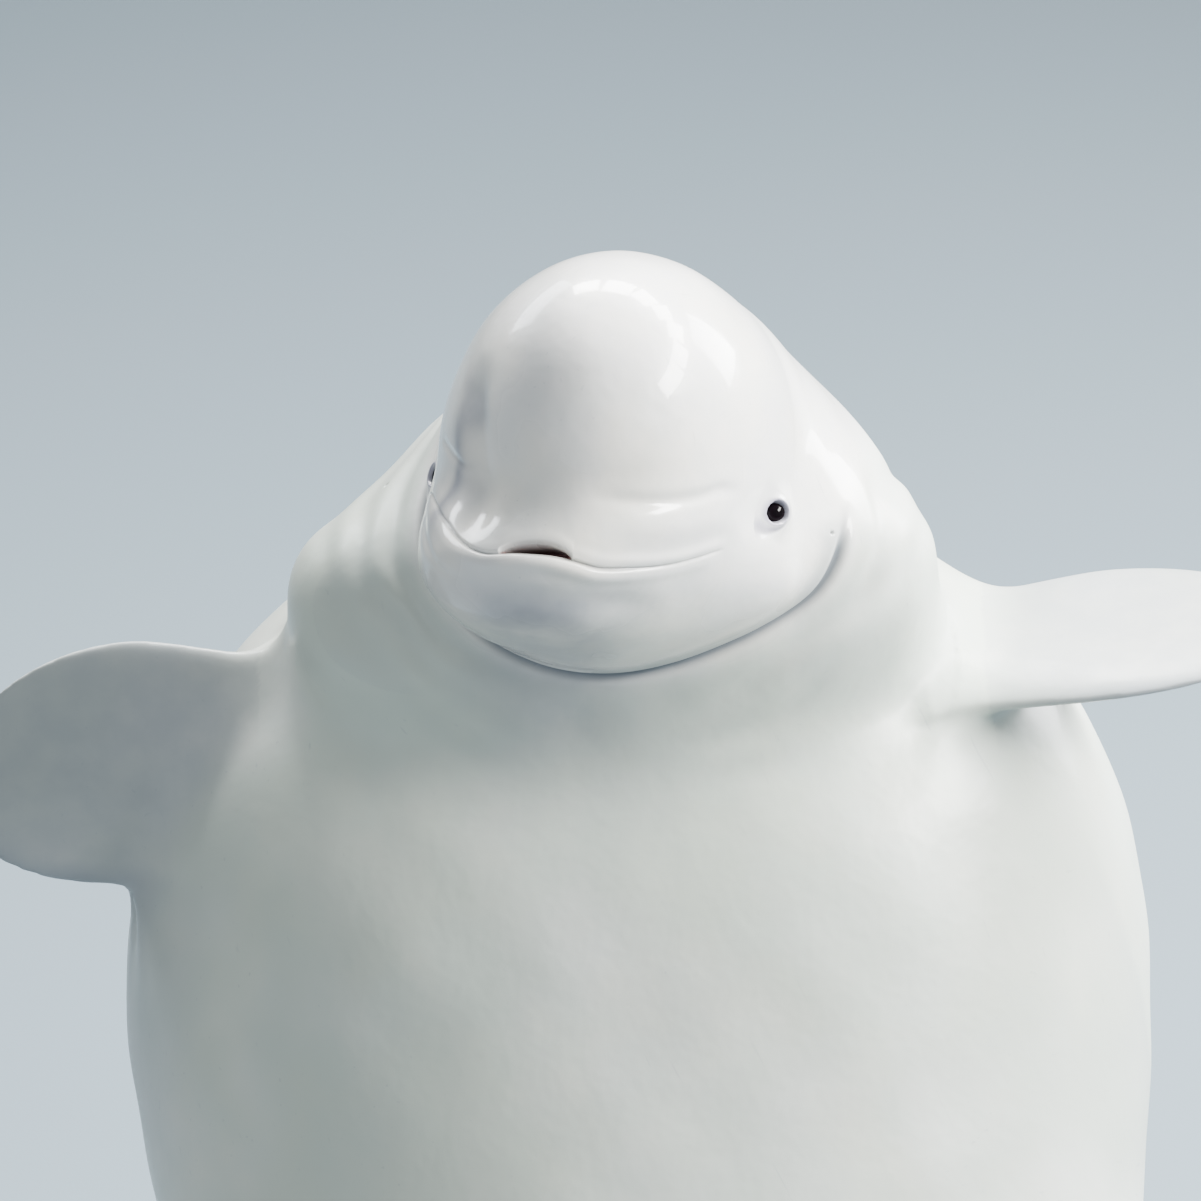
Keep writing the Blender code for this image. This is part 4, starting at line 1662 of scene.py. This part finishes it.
def grain_group() -> bpy.types.NodeTree:
    """Fine surface grain: inputs Place, Scale and Pores, output Height.

    Returns:
        The group.
    """
    group, bench = new_group(
        "fine_grain", {"Place": None, "Scale": 300.0, "Pores": 0.3}, {"Height": "NodeSocketFloat"}
    )
    entry, leave = bench.add("NodeGroupInput"), bench.add("NodeGroupOutput")
    noise = bench.add("TexNoise")
    bench.feed(noise, Vector=entry.outputs["Place"], Scale=entry.outputs["Scale"], Detail=2.0, Roughness=0.6)
    cells = bench.add("TexVoronoi", feature="F1")
    bench.feed(cells, Vector=entry.outputs["Place"], Scale=entry.outputs["Scale"])
    pits = bench.span(cells.outputs["Distance"], 0.0, 0.35, 1.0, 0.0)
    pits = bench.math("MULTIPLY", pits, entry.outputs["Pores"])
    height = bench.math("SUBTRACT", noise.outputs["Fac"], pits)
    bench.tree.links.new(height, leave.inputs["Height"])
    return group


def streak_group() -> bpy.types.NodeTree:
    """Fine lines along one direction: inputs Place, Along and Across, output Height.

    Returns:
        The group.
    """
    group, bench = new_group(
        "fine_streaks", {"Place": None, "Along": 2.0, "Across": 300.0}, {"Height": "NodeSocketFloat"}
    )
    entry, leave = bench.add("NodeGroupInput"), bench.add("NodeGroupOutput")
    scale = bench.add("CombineXYZ")
    bench.feed(scale, X=entry.outputs["Across"], Y=entry.outputs["Across"], Z=entry.outputs["Along"])
    stretch = bench.add("VectorMath", operation="MULTIPLY")
    bench.feed(stretch, i0=entry.outputs["Place"], i1=scale.outputs["Vector"])
    noise = bench.add("TexNoise")
    bench.feed(noise, Vector=stretch.outputs["Vector"], Scale=1.0, Detail=2.0)
    bench.tree.links.new(noise.outputs["Fac"], leave.inputs["Height"])
    return group


class Effects:
    """Node groups that several finishes share, each built once."""

    def __init__(self) -> None:
        """Builds the groups."""
        self.cloud = cloud_group()
        self.grain = grain_group()
        self.streaks = streak_group()

    def use(self, bench: Bench, group: bpy.types.NodeTree, **sources: object) -> bpy.types.NodeSocket:
        """Places a group in a material and returns its output.

        Args:
            bench: The material's bench.
            group: Group to place.
            sources: Values or sockets by input name.

        Returns:
            The group's output.
        """
        node = bench.add("Group", node_tree=group)
        bench.feed(node, **sources)
        return node.outputs[0]


@dataclass(frozen=True)
class Finish:
    """What every finish has in common.

    Attributes:
        name: Name of the material.
    """

    name: str

    def start(self) -> tuple[bpy.types.Material, Bench, bpy.types.Node]:
        """A new material, its bench and its Principled shader.

        Returns:
            The three of them.
        """
        material = bpy.data.materials.new(self.name)
        material.use_nodes = True
        bench = Bench(material.node_tree)
        return material, bench, material.node_tree.nodes["Principled BSDF"]

    @staticmethod
    def relief(bench: Bench, shader: bpy.types.Node, height: bpy.types.NodeSocket, deep: float) -> None:
        """Feeds a height, in metres when full, to the shader's normal.

        Args:
            bench: The material's bench.
            shader: The material's shader.
            height: Height from 0 to 1.
            deep: Full height in metres.
        """
        node = bench.add("Bump")
        bench.feed(node, Height=height, Distance=deep, Strength=1.0)
        bench.feed(shader, Normal=node.outputs["Normal"])


@dataclass(frozen=True)
class SkinFinish(Finish):
    """Wet white skin with faint cream, lavender and grey, and painted shade in creases, round the lids, in
    the mouth, on the flipper blades and below the jaw and lip.
    """

    white: tuple[float, ...] = (0.865, 0.852, 0.800, 1.0)
    cream: tuple[float, ...] = (0.850, 0.830, 0.740, 1.0)
    lavender: tuple[float, ...] = (0.720, 0.735, 0.790, 1.0)
    green: tuple[float, ...] = (0.700, 0.750, 0.700, 1.0)
    # Painted shade: under the jaw and lip, beside the muzzle, on the far cheek and on the flipper blades.
    cool: tuple[float, ...] = (0.235, 0.250, 0.300, 1.0)
    sage: tuple[float, ...] = (0.430, 0.510, 0.440, 1.0)
    slate: tuple[float, ...] = (0.240, 0.270, 0.310, 1.0)
    # Painted shade in creases, slits and pits.
    crease: tuple[float, ...] = (0.110, 0.135, 0.165, 1.0)
    # Inside of the mouth: dark brown flesh, darkened further as painted shade in the cavity.
    inner_mouth: tuple[float, ...] = (0.150, 0.078, 0.072, 1.0)
    gum: tuple[float, ...] = (0.480, 0.260, 0.240, 1.0)
    lid: tuple[float, ...] = (0.045, 0.040, 0.052, 1.0)
    # Painted shade round the lids.
    rim: tuple[float, ...] = (0.255, 0.240, 0.330, 1.0)
    scratch_strength: float = 0.22

    def material(self, effects: Effects) -> bpy.types.Material:
        """Builds the material.

        Args:
            effects: The shared node groups.

        Returns:
            The material.
        """
        material, bench, shader = self.start()
        place = bench.place()
        broad = effects.use(bench, effects.cloud, Place=place, Scale=2.3, Spread=0.16)
        patch = effects.use(bench, effects.cloud, Place=place, Scale=5.5, Spread=0.12)
        small = effects.use(bench, effects.cloud, Place=place, Scale=22.0, Spread=0.18)
        colour = bench.mix(bench.math("MULTIPLY", broad, 0.75), self.white, self.cream)
        colour = bench.mix(bench.math("MULTIPLY", patch, 0.42), colour, self.lavender)
        colour = bench.mix(bench.math("MULTIPLY", small, 0.22), colour, self.green)
        body = bench.math("MULTIPLY", bench.mask("sage"), bench.span(broad, 0.0, 1.0, 0.38, 0.74))
        colour = bench.mix(body, colour, self.sage)
        # Painted shade from the cool mask.
        shade = bench.math("MULTIPLY", bench.mask("cool"), bench.span(small, 0.0, 1.0, 0.80, 0.95))
        colour = bench.mix(shade, colour, self.cool)
        colour = self.scratches(bench, effects, place, colour)
        colour = bench.mix(bench.math("MULTIPLY", bench.mask("margin"), 0.62), colour, self.slate)
        # Painted shade from the crease and rim masks.
        colour = bench.mix(bench.math("MULTIPLY", bench.mask("crease"), 0.85), colour, self.crease)
        colour = bench.mix(bench.math("MULTIPLY", bench.mask("rim"), 0.85), colour, self.rim)
        colour = bench.mix(bench.mask("lid"), colour, self.lid)
        # Inside of the mouth, its flesh darkened as painted shade.
        colour = bench.mix(bench.mask("mouth"), colour, self.inner_mouth)
        colour = bench.mix(bench.mask("gum"), colour, self.gum)
        rough = bench.span(patch, 0.0, 1.0, 0.19, 0.32)
        rough = bench.math("ADD", rough, bench.math("MULTIPLY", bench.mask("sage"), 0.12))
        bench.feed(shader, Base_Color=colour, Roughness=rough, IOR=1.42)
        wet = bench.span(bench.mask("sage"), 0.0, 1.0, 0.60, 0.06)
        bench.feed(shader, Coat_Weight=wet, Coat_Roughness=0.045, Coat_IOR=1.42)
        grain = effects.use(bench, effects.grain, Place=place, Scale=420.0, Pores=0.25)
        ripple = effects.use(bench, effects.grain, Place=place, Scale=26.0, Pores=0.0)
        height = bench.math("ADD", bench.math("MULTIPLY", grain, 0.05), ripple)
        self.relief(bench, shader, height, 0.0009)
        return material

    def scratches(
        self, bench: Bench, effects: Effects, place: bpy.types.NodeSocket, colour: bpy.types.NodeSocket
    ) -> bpy.types.NodeSocket:
        """Adds faint thin rake marks and returns the colour.

        Args:
            bench: The material's bench.
            effects: The shared node groups.
            place: Place on the object.
            colour: Colour so far.

        Returns:
            The colour with the marks.
        """
        for tilt, seed in ((0.5, 3.0), (-0.9, 11.0)):
            turned = bench.add("Mapping")
            bench.feed(turned, Vector=place, Location=(seed, 0.0, 0.0), Rotation=(tilt, 0.4, tilt))
            spot = turned.outputs["Vector"]
            lines = effects.use(bench, effects.streaks, Place=spot, Along=5.0, Across=150.0)
            thin = bench.span(lines, 0.70, 0.76, 0.0, self.scratch_strength)
            some = effects.use(bench, effects.cloud, Place=spot, Scale=3.1, Spread=0.08)
            colour = bench.mix(bench.math("MULTIPLY", thin, some), colour, self.slate)
        return colour


@dataclass(frozen=True)
class EyeFinish(Finish):
    """Dark wet eye: brown iris round a near-black pupil.

    The iris is drawn round the object's own Z axis, which points along the gaze.
    """

    pupil: tuple[float, ...] = (0.004, 0.003, 0.004, 1.0)
    iris: tuple[float, ...] = (0.007, 0.004, 0.006, 1.0)
    white: tuple[float, ...] = (0.030, 0.022, 0.030, 1.0)

    def material(self, effects: Effects) -> bpy.types.Material:
        """Builds the material.

        Args:
            effects: The shared node groups.

        Returns:
            The material.
        """
        material, bench, shader = self.start()
        place = bench.place()
        split = bench.add("SeparateXYZ")
        bench.feed(split, Vector=place)
        wide = bench.math("MULTIPLY", split.outputs["X"], 0.8)
        far = bench.math("POWER", wide, 2.0)
        far = bench.math("ADD", far, bench.math("POWER", split.outputs["Y"], 2.0))
        far = bench.math("SQRT", far)
        cloud = effects.use(bench, effects.cloud, Place=place, Scale=260.0, Spread=0.2)
        uneven = bench.math("ADD", far, bench.math("MULTIPLY", cloud, 0.0006))
        colour = bench.mix(bench.span(uneven, 0.0046, 0.0056, 0.0, 1.0), self.pupil, self.iris)
        colour = bench.mix(bench.math("MULTIPLY", cloud, 0.4), colour, self.pupil)
        colour = bench.mix(bench.span(uneven, 0.0112, 0.0130, 0.0, 1.0), colour, self.white)
        bench.feed(shader, Base_Color=colour, Roughness=bench.span(cloud, 0.0, 1.0, 0.10, 0.20), IOR=1.2)
        bench.feed(shader, Coat_Weight=0.4, Coat_Roughness=0.015, Coat_IOR=1.33)
        bench.feed(shader, Specular_IOR_Level=0.15)
        grain = effects.use(bench, effects.grain, Place=place, Scale=900.0, Pores=0.1)
        self.relief(bench, shader, grain, 0.00002)
        return material


@dataclass(frozen=True)
class PaintFinish(Finish):
    """Satin dark paint with a fine orange peel."""

    colour: tuple[float, ...] = (0.085, 0.095, 0.105, 1.0)
    worn: tuple[float, ...] = (0.130, 0.140, 0.150, 1.0)
    dusty: tuple[float, ...] = (0.30, 0.30, 0.29, 1.0)

    def material(self, effects: Effects) -> bpy.types.Material:
        """Builds the material.

        Args:
            effects: The shared node groups.

        Returns:
            The material.
        """
        material, bench, shader = self.start()
        place = bench.place()
        cloud = effects.use(bench, effects.cloud, Place=place, Scale=6.0, Spread=0.2)
        dust = effects.use(bench, effects.cloud, Place=place, Scale=60.0, Spread=0.1)
        colour = bench.mix(bench.math("MULTIPLY", cloud, 0.5), self.colour, self.worn)
        colour = bench.mix(bench.math("MULTIPLY", dust, 0.10), colour, self.dusty)
        bench.feed(shader, Base_Color=colour, Roughness=bench.span(cloud, 0.0, 1.0, 0.34, 0.48))
        grain = effects.use(bench, effects.grain, Place=place, Scale=500.0, Pores=0.2)
        self.relief(bench, shader, grain, 0.00012)
        return material


@dataclass(frozen=True)
class SteelFinish(Finish):
    """Brushed steel with lines round the rod."""

    colour: tuple[float, ...] = (0.560, 0.570, 0.580, 1.0)
    dull: tuple[float, ...] = (0.440, 0.450, 0.460, 1.0)

    def material(self, effects: Effects) -> bpy.types.Material:
        """Builds the material.

        Args:
            effects: The shared node groups.

        Returns:
            The material.
        """
        material, bench, shader = self.start()
        place = bench.place()
        lines = effects.use(bench, effects.streaks, Place=place, Along=900.0, Across=14.0)
        cloud = effects.use(bench, effects.cloud, Place=place, Scale=9.0, Spread=0.15)
        colour = bench.mix(bench.math("MULTIPLY", cloud, 0.6), self.colour, self.dull)
        brushed = bench.span(lines, 0.3, 0.7, 0.20, 0.34)
        rough = bench.math("ADD", brushed, bench.math("MULTIPLY", cloud, 0.06))
        bench.feed(shader, Base_Color=colour, Metallic=1.0, Roughness=rough)
        self.relief(bench, shader, lines, 0.00008)
        return material


@dataclass(frozen=True)
class RubberFinish(Finish):
    """Matt grey rubber of the saddles."""

    colour: tuple[float, ...] = (0.060, 0.064, 0.068, 1.0)
    chalky: tuple[float, ...] = (0.105, 0.108, 0.110, 1.0)

    def material(self, effects: Effects) -> bpy.types.Material:
        """Builds the material.

        Args:
            effects: The shared node groups.

        Returns:
            The material.
        """
        material, bench, shader = self.start()
        place = bench.place()
        cloud = effects.use(bench, effects.cloud, Place=place, Scale=30.0, Spread=0.2)
        colour = bench.mix(bench.math("MULTIPLY", cloud, 0.4), self.colour, self.chalky)
        bench.feed(shader, Base_Color=colour, Roughness=bench.span(cloud, 0.0, 1.0, 0.62, 0.78))
        grain = effects.use(bench, effects.grain, Place=place, Scale=700.0, Pores=0.4)
        self.relief(bench, shader, grain, 0.00015)
        return material


@dataclass(frozen=True)
class FloorFinish(Finish):
    """Plain pale floor."""

    colour: tuple[float, ...] = (0.185, 0.240, 0.280, 1.0)
    deeper: tuple[float, ...] = (0.165, 0.215, 0.255, 1.0)

    def material(self, effects: Effects) -> bpy.types.Material:
        """Builds the material.

        Args:
            effects: The shared node groups.

        Returns:
            The material.
        """
        material, bench, shader = self.start()
        place = bench.place()
        cloud = effects.use(bench, effects.cloud, Place=place, Scale=0.35, Spread=0.25)
        colour = bench.mix(bench.math("MULTIPLY", cloud, 0.10), self.colour, self.deeper)
        bench.feed(shader, Base_Color=colour, Roughness=0.85)
        grain = effects.use(bench, effects.grain, Place=place, Scale=160.0, Pores=0.0)
        self.relief(bench, shader, grain, 0.0002)
        return material


def object_from(bm: bmesh.types.BMesh, name: str, smooth: float | None = 35.0) -> bpy.types.Object:
    """Makes an object from a bmesh.

    Args:
        bm: The shape, freed here.
        name: Name of the object.
        smooth: Edges above this angle stay sharp, in degrees; None shades flat.

    Returns:
        The object, in the scene.
    """
    mesh = bpy.data.meshes.new(name)
    bm.to_mesh(mesh)
    bm.free()
    if smooth is not None:
        mesh.polygons.foreach_set("use_smooth", [True] * len(mesh.polygons))
        mesh.set_sharp_from_angle(angle=math.radians(smooth))
    made = bpy.data.objects.new(name, mesh)
    bpy.context.scene.collection.objects.link(made)
    return made


@dataclass
class Eyeball:
    """Eyeball with a slightly raised cornea."""

    socket: EyeSocket
    segments: int = 72
    cornea: float = 0.0009
    cornea_radius: float = 0.0095

    def build(self, material: bpy.types.Material) -> bpy.types.Object:
        """Builds the ball in its solid's place, facing along the gaze.

        Args:
            material: What it is made of.

        Returns:
            The finished piece.
        """
        bm = bmesh.new()
        bmesh.ops.create_uvsphere(
            bm, u_segments=self.segments, v_segments=self.segments // 2, radius=self.socket.radius
        )
        for vert in bm.verts:
            if vert.co.z > 0:
                far = math.hypot(vert.co.x, vert.co.y)
                vert.co.z += self.cornea * math.exp(-((far / self.cornea_radius) ** 4))
        ball = object_from(bm, f"{self.socket.node}_ball")
        out, fore, up = self.socket.gaze.T
        turned = Matrix(np.column_stack([fore, up, np.cross(fore, up)]).tolist())
        if turned.col[2].dot(Vector(out)) < 0:
            turned = Matrix(np.column_stack([-fore, up, out]).tolist())
        ball.matrix_world = Matrix.Translation(self.socket.middle) @ turned.to_4x4()
        ball.data.materials.append(material)
        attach(ball, BODY)
        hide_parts(self.socket.node)
        return ball


@dataclass
class Stand:
    """Display stand: painted base, steel rods, screws and saddles."""

    form: WhaleForm
    rods: tuple[str, str] = ("stand_rod_front", "stand_rod_rear")
    saddle_radius: float = 0.046
    saddle_bore: float = 0.0305
    saddle_height: float = 0.050
    saddle_around: int = 64
    skin_gap: float = 0.0006
    screw_circle: float = 0.056
    screw_head: float = 0.0065
    screw_height: float = 0.0060
    screw_socket: float = 0.0034
    screw_deep: float = 0.0032
    screw_bevel: float = 0.0006
    screw_around: int = 24
    screw_seat: float = 0.0144

    def dress(self, paint: bpy.types.Material, steel: bpy.types.Material) -> None:
        """Gives the kept solids their finish.

        Args:
            paint: Finish of the base.
            steel: Finish of the steel.
        """
        for name, material in (("stand_base", paint), (self.rods[0], steel), (self.rods[1], steel)):
            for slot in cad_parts[name].material_slots:
                slot.material = material

    def under_body(self, x: float, y: float, low: float) -> float:
        """Height of the body's underside above a place, found from below.

        Args:
            x: Place across.
            y: Place along.
            low: Where the search starts.

        Returns:
            The height.
        """
        heights = np.arange(low, low + 1.2, 0.004)
        column = np.column_stack([np.full(len(heights), x), np.full(len(heights), y), heights])
        values = self.form.field(column)
        first = int(np.argmax(values < 0.0))
        share = values[first - 1] / (values[first - 1] - values[first])
        return float(heights[first - 1] + share * (heights[first] - heights[first - 1]))

    def saddle(self, rod: str, rubber: bpy.types.Material) -> bpy.types.Object:
        """Builds the rubber cup between a rod and the body.

        Args:
            rod: The rod's node.
            rubber: Finish of the saddles.

        Returns:
            The finished piece.
        """
        low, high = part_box(rod)
        y, collar_top = (low.y + high.y) / 2, low.z + 0.05
        rows: list[list[Vector]] = []
        turns = [2.0 * math.pi * k / self.saddle_around for k in range(self.saddle_around)]
        tops = {}
        for radius in (self.saddle_bore, self.saddle_radius - 0.003, self.saddle_radius):
            tops[radius] = [
                self.under_body(radius * math.cos(a), y + radius * math.sin(a), collar_top) - self.skin_gap
                for a in turns
            ]
        floor = min(min(column) for column in tops.values()) - self.saddle_height
        profile = (
            (self.saddle_bore, None, 0.0),
            (self.saddle_radius - 0.003, None, 0.0),
            (self.saddle_radius, None, 0.003),
            (self.saddle_radius - 0.004, floor + 0.016, 0.0),
            (self.saddle_bore + 0.004, floor, 0.0),
            (self.saddle_bore, floor, 0.0),
        )
        bm = bmesh.new()
        for radius, level, drop in profile:
            row = []
            for k, a in enumerate(turns):
                z = tops[radius][k] - drop if level is None else level
                row.append(bm.verts.new((radius * math.cos(a), y + radius * math.sin(a), z)))
            rows.append(row)
        for one, two in zip(rows, rows[1:] + rows[:1]):
            for k in range(self.saddle_around):
                j = (k + 1) % self.saddle_around
                bm.faces.new((one[k], one[j], two[j], two[k]))
        bmesh.ops.recalc_face_normals(bm, faces=bm.faces)
        made = object_from(bm, rod.replace("rod", "saddle"))
        made.data.materials.append(rubber)
        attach(made, BODY)
        return made

    def screws(self, rod: str, steel: bpy.types.Material) -> bpy.types.Object:
        """Builds the socket screws that hold a rod's collar.

        Args:
            rod: The rod's node.
            steel: Finish of the steel.

        Returns:
            The finished piece.
        """
        low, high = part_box(rod)
        y = (low.y + high.y) / 2
        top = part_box("stand_base")[1].z + self.screw_seat
        bm = bmesh.new()
        for quarter in range(4):
            a = math.radians(45.0 + 90.0 * quarter)
            middle = (self.screw_circle * math.cos(a), y + self.screw_circle * math.sin(a))
            self.screw(bm, middle, top)
        made = object_from(bm, rod.replace("rod", "screws"))
        made.data.materials.append(steel)
        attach(made, BODY)
        return made

    def screw(self, bm: bmesh.types.BMesh, middle: tuple[float, float], foot: float) -> None:
        """Adds one screw head with a hexagonal socket.

        Args:
            bm: Shape that the screw joins.
            middle: Where the screw stands.
            foot: Height of its foot.
        """
        around, sixth = self.screw_around, math.pi / 3
        rings = (
            (self.screw_head, 0.0, around),
            (self.screw_head, self.screw_height - self.screw_bevel, around),
            (self.screw_head - self.screw_bevel, self.screw_height, around),
            (self.screw_socket, self.screw_height, 6),
            (self.screw_socket, self.screw_height - self.screw_deep, 6),
        )
        rows = []
        for radius, height, sides in rings:
            row = []
            for k in range(around):
                a = 2.0 * math.pi * k / around
                flat = 1.0
                if sides == 6:
                    flat = math.cos(sixth / 2) / math.cos(a % sixth - sixth / 2)
                place = (middle[0] + radius * flat * math.cos(a), middle[1] + radius * flat * math.sin(a))
                row.append(bm.verts.new((*place, foot + height)))
            rows.append(row)
        for one, two in zip(rows, rows[1:]):
            for k in range(around):
                j = (k + 1) % around
                bm.faces.new((one[k], one[j], two[j], two[k]))
        bm.faces.new(rows[0][::-1])
        bm.faces.new(rows[-1])


@dataclass
class Studio:
    """Floor, soft lights and the camera."""

    head: Head
    floor_size: float = 240.0
    camera_distance: float = 8.0
    camera_lift: float = 33.0
    camera_roll: float = 4.0
    pixels: float = 1201.0
    pixels_per_metre: float = 994.0
    eyes_pixel: tuple[float, float] = (606.0, 495.0)
    sensor: float = 36.0
    room_light: float = 0.20
    arch_reach: float = 4.4
    arch_panel: tuple[float, float] = (0.95, 0.95)
    arch_power: float = 262.0
    side_power: float = 330.0
    front_power: float = 200.0
    back_power: float = 240.0
    warm: tuple[float, float, float] = (1.0, 0.99, 0.97)
    cool: tuple[float, float, float] = (0.96, 0.98, 1.0)
    cold: tuple[float, float, float] = (0.90, 0.95, 1.0)
    room: tuple[float, float, float, float] = (0.82, 0.90, 0.96, 1.0)
    arch: tuple[tuple[float, float, float], ...] = (
        (-0.05, 0.75, 0.66),
        (0.20, 0.72, 0.67),
        (0.42, 0.63, 0.65),
        (0.62, 0.51, 0.59),
        (0.79, 0.36, 0.50),
        (0.89, 0.15, 0.43),
        (0.90, -0.08, 0.42),
        (0.86, -0.28, 0.43),
    )

    def floor(self, material: bpy.types.Material) -> bpy.types.Object:
        """Lays the floor.

        Args:
            material: What it is made of.

        Returns:
            The floor.
        """
        bm = bmesh.new()
        bmesh.ops.create_grid(bm, x_segments=8, y_segments=8, size=self.floor_size / 2)
        floor = object_from(bm, "floor", None)
        floor.location.z = -0.0005
        floor.data.materials.append(material)
        return floor

    def camera(self) -> bpy.types.Object:
        """Places the camera at the photo's viewing angle and framing.

        Returns:
            The camera.
        """
        lift, roll = math.radians(self.camera_lift), math.radians(self.camera_roll)
        back = Vector((0.0, -math.cos(lift), math.sin(lift)))
        up = Vector((0.0, math.sin(lift), math.cos(lift)))
        right = Vector((1.0, 0.0, 0.0))
        across = math.cos(roll) * right - math.sin(roll) * up
        upward = math.cos(roll) * up + math.sin(roll) * right
        middle = self.pixels / 2
        aside = (self.eyes_pixel[0] - middle) / self.pixels_per_metre
        above = (middle - self.eyes_pixel[1]) / self.pixels_per_metre
        target = Vector(self.head.origin) - aside * across - above * upward
        data = bpy.data.cameras.new("camera")
        data.sensor_width = self.sensor
        data.lens = self.sensor * self.camera_distance * self.pixels_per_metre / self.pixels
        data.dof.use_dof = False
        camera = bpy.data.objects.new("camera", data)
        bpy.context.scene.collection.objects.link(camera)
        turned = Matrix((across, upward, back)).transposed()
        camera.matrix_world = Matrix.Translation(target + self.camera_distance * back) @ turned.to_4x4()
        bpy.context.scene.camera = camera
        return camera

    def light(
        self,
        name: str,
        place: tuple[float, float, float],
        size: tuple[float, float],
        power: float,
        colour: tuple[float, float, float],
        mirrored: bool = True,
    ) -> bpy.types.Object:
        """Hangs one soft box that faces the head.

        Args:
            name: Name of the light.
            place: Where it hangs, from the head.
            size: Width and height.
            power: Power in watts.
            colour: Colour of the light.
            mirrored: Whether the wet skin mirrors it.

        Returns:
            The light.
        """
        data = bpy.data.lights.new(name, "AREA")
        data.shape = "RECTANGLE"
        data.size, data.size_y = size
        data.energy = power
        data.color = colour
        lamp = bpy.data.objects.new(name, data)
        bpy.context.scene.collection.objects.link(lamp)
        lamp.location = Vector(self.head.origin) + Vector(place)
        lamp.rotation_euler = Vector(place).to_track_quat("Z", "Y").to_euler()
        lamp.visible_camera = False
        lamp.visible_glossy = mirrored
        return lamp

    def lights(self) -> None:
        """Hangs every light and sets the even light of the room."""
        for number, aim in enumerate(self.arch):
            place = tuple(self.arch_reach * part for part in aim)
            self.light(f"soft_arch_{number}", place, self.arch_panel, self.arch_power, self.warm)
        self.light("soft_side", (3.6, 2.5, 0.4), (1.5, 1.9), self.side_power, self.cool)
        self.light("soft_front", (-3.0, -5.0, 2.4), (3.4, 2.6), self.front_power, self.cold, False)
        self.light("soft_back", (-2.4, 4.4, 2.4), (3.0, 1.6), self.back_power, self.cold)
        world = bpy.data.worlds.new("room")
        world.use_nodes = True
        bpy.context.scene.world = world
        node = world.node_tree.nodes["Background"]
        node.inputs["Color"].default_value = self.room
        node.inputs["Strength"].default_value = self.room_light


def main() -> None:
    """Builds every piece and reports it."""
    logging.basicConfig(level=logging.INFO, format="%(name)s: %(message)s")
    form = WhaleForm()
    effects = Effects()
    skin = WhaleSkin(form).build()
    skin.data.materials.append(SkinFinish("whale_skin").material(effects))
    LOG.info("%s has %d faces", skin.name, len(skin.data.polygons))
    eye_material = EyeFinish("eye_dark").material(effects)
    for socket in form.eyes:
        ball = Eyeball(socket).build(eye_material)
        LOG.info("%s has %d faces", ball.name, len(ball.data.polygons))
    stand = Stand(form)
    steel = SteelFinish("stand_steel").material(effects)
    rubber = RubberFinish("stand_rubber").material(effects)
    stand.dress(PaintFinish("stand_paint").material(effects), steel)
    for rod in stand.rods:
        for piece in (stand.saddle(rod, rubber), stand.screws(rod, steel)):
            LOG.info("%s has %d faces", piece.name, len(piece.data.polygons))
    studio = Studio(form.head)
    studio.floor(FloorFinish("floor").material(effects))
    studio.camera()
    studio.lights()


if __name__ == "__main__":
    main()
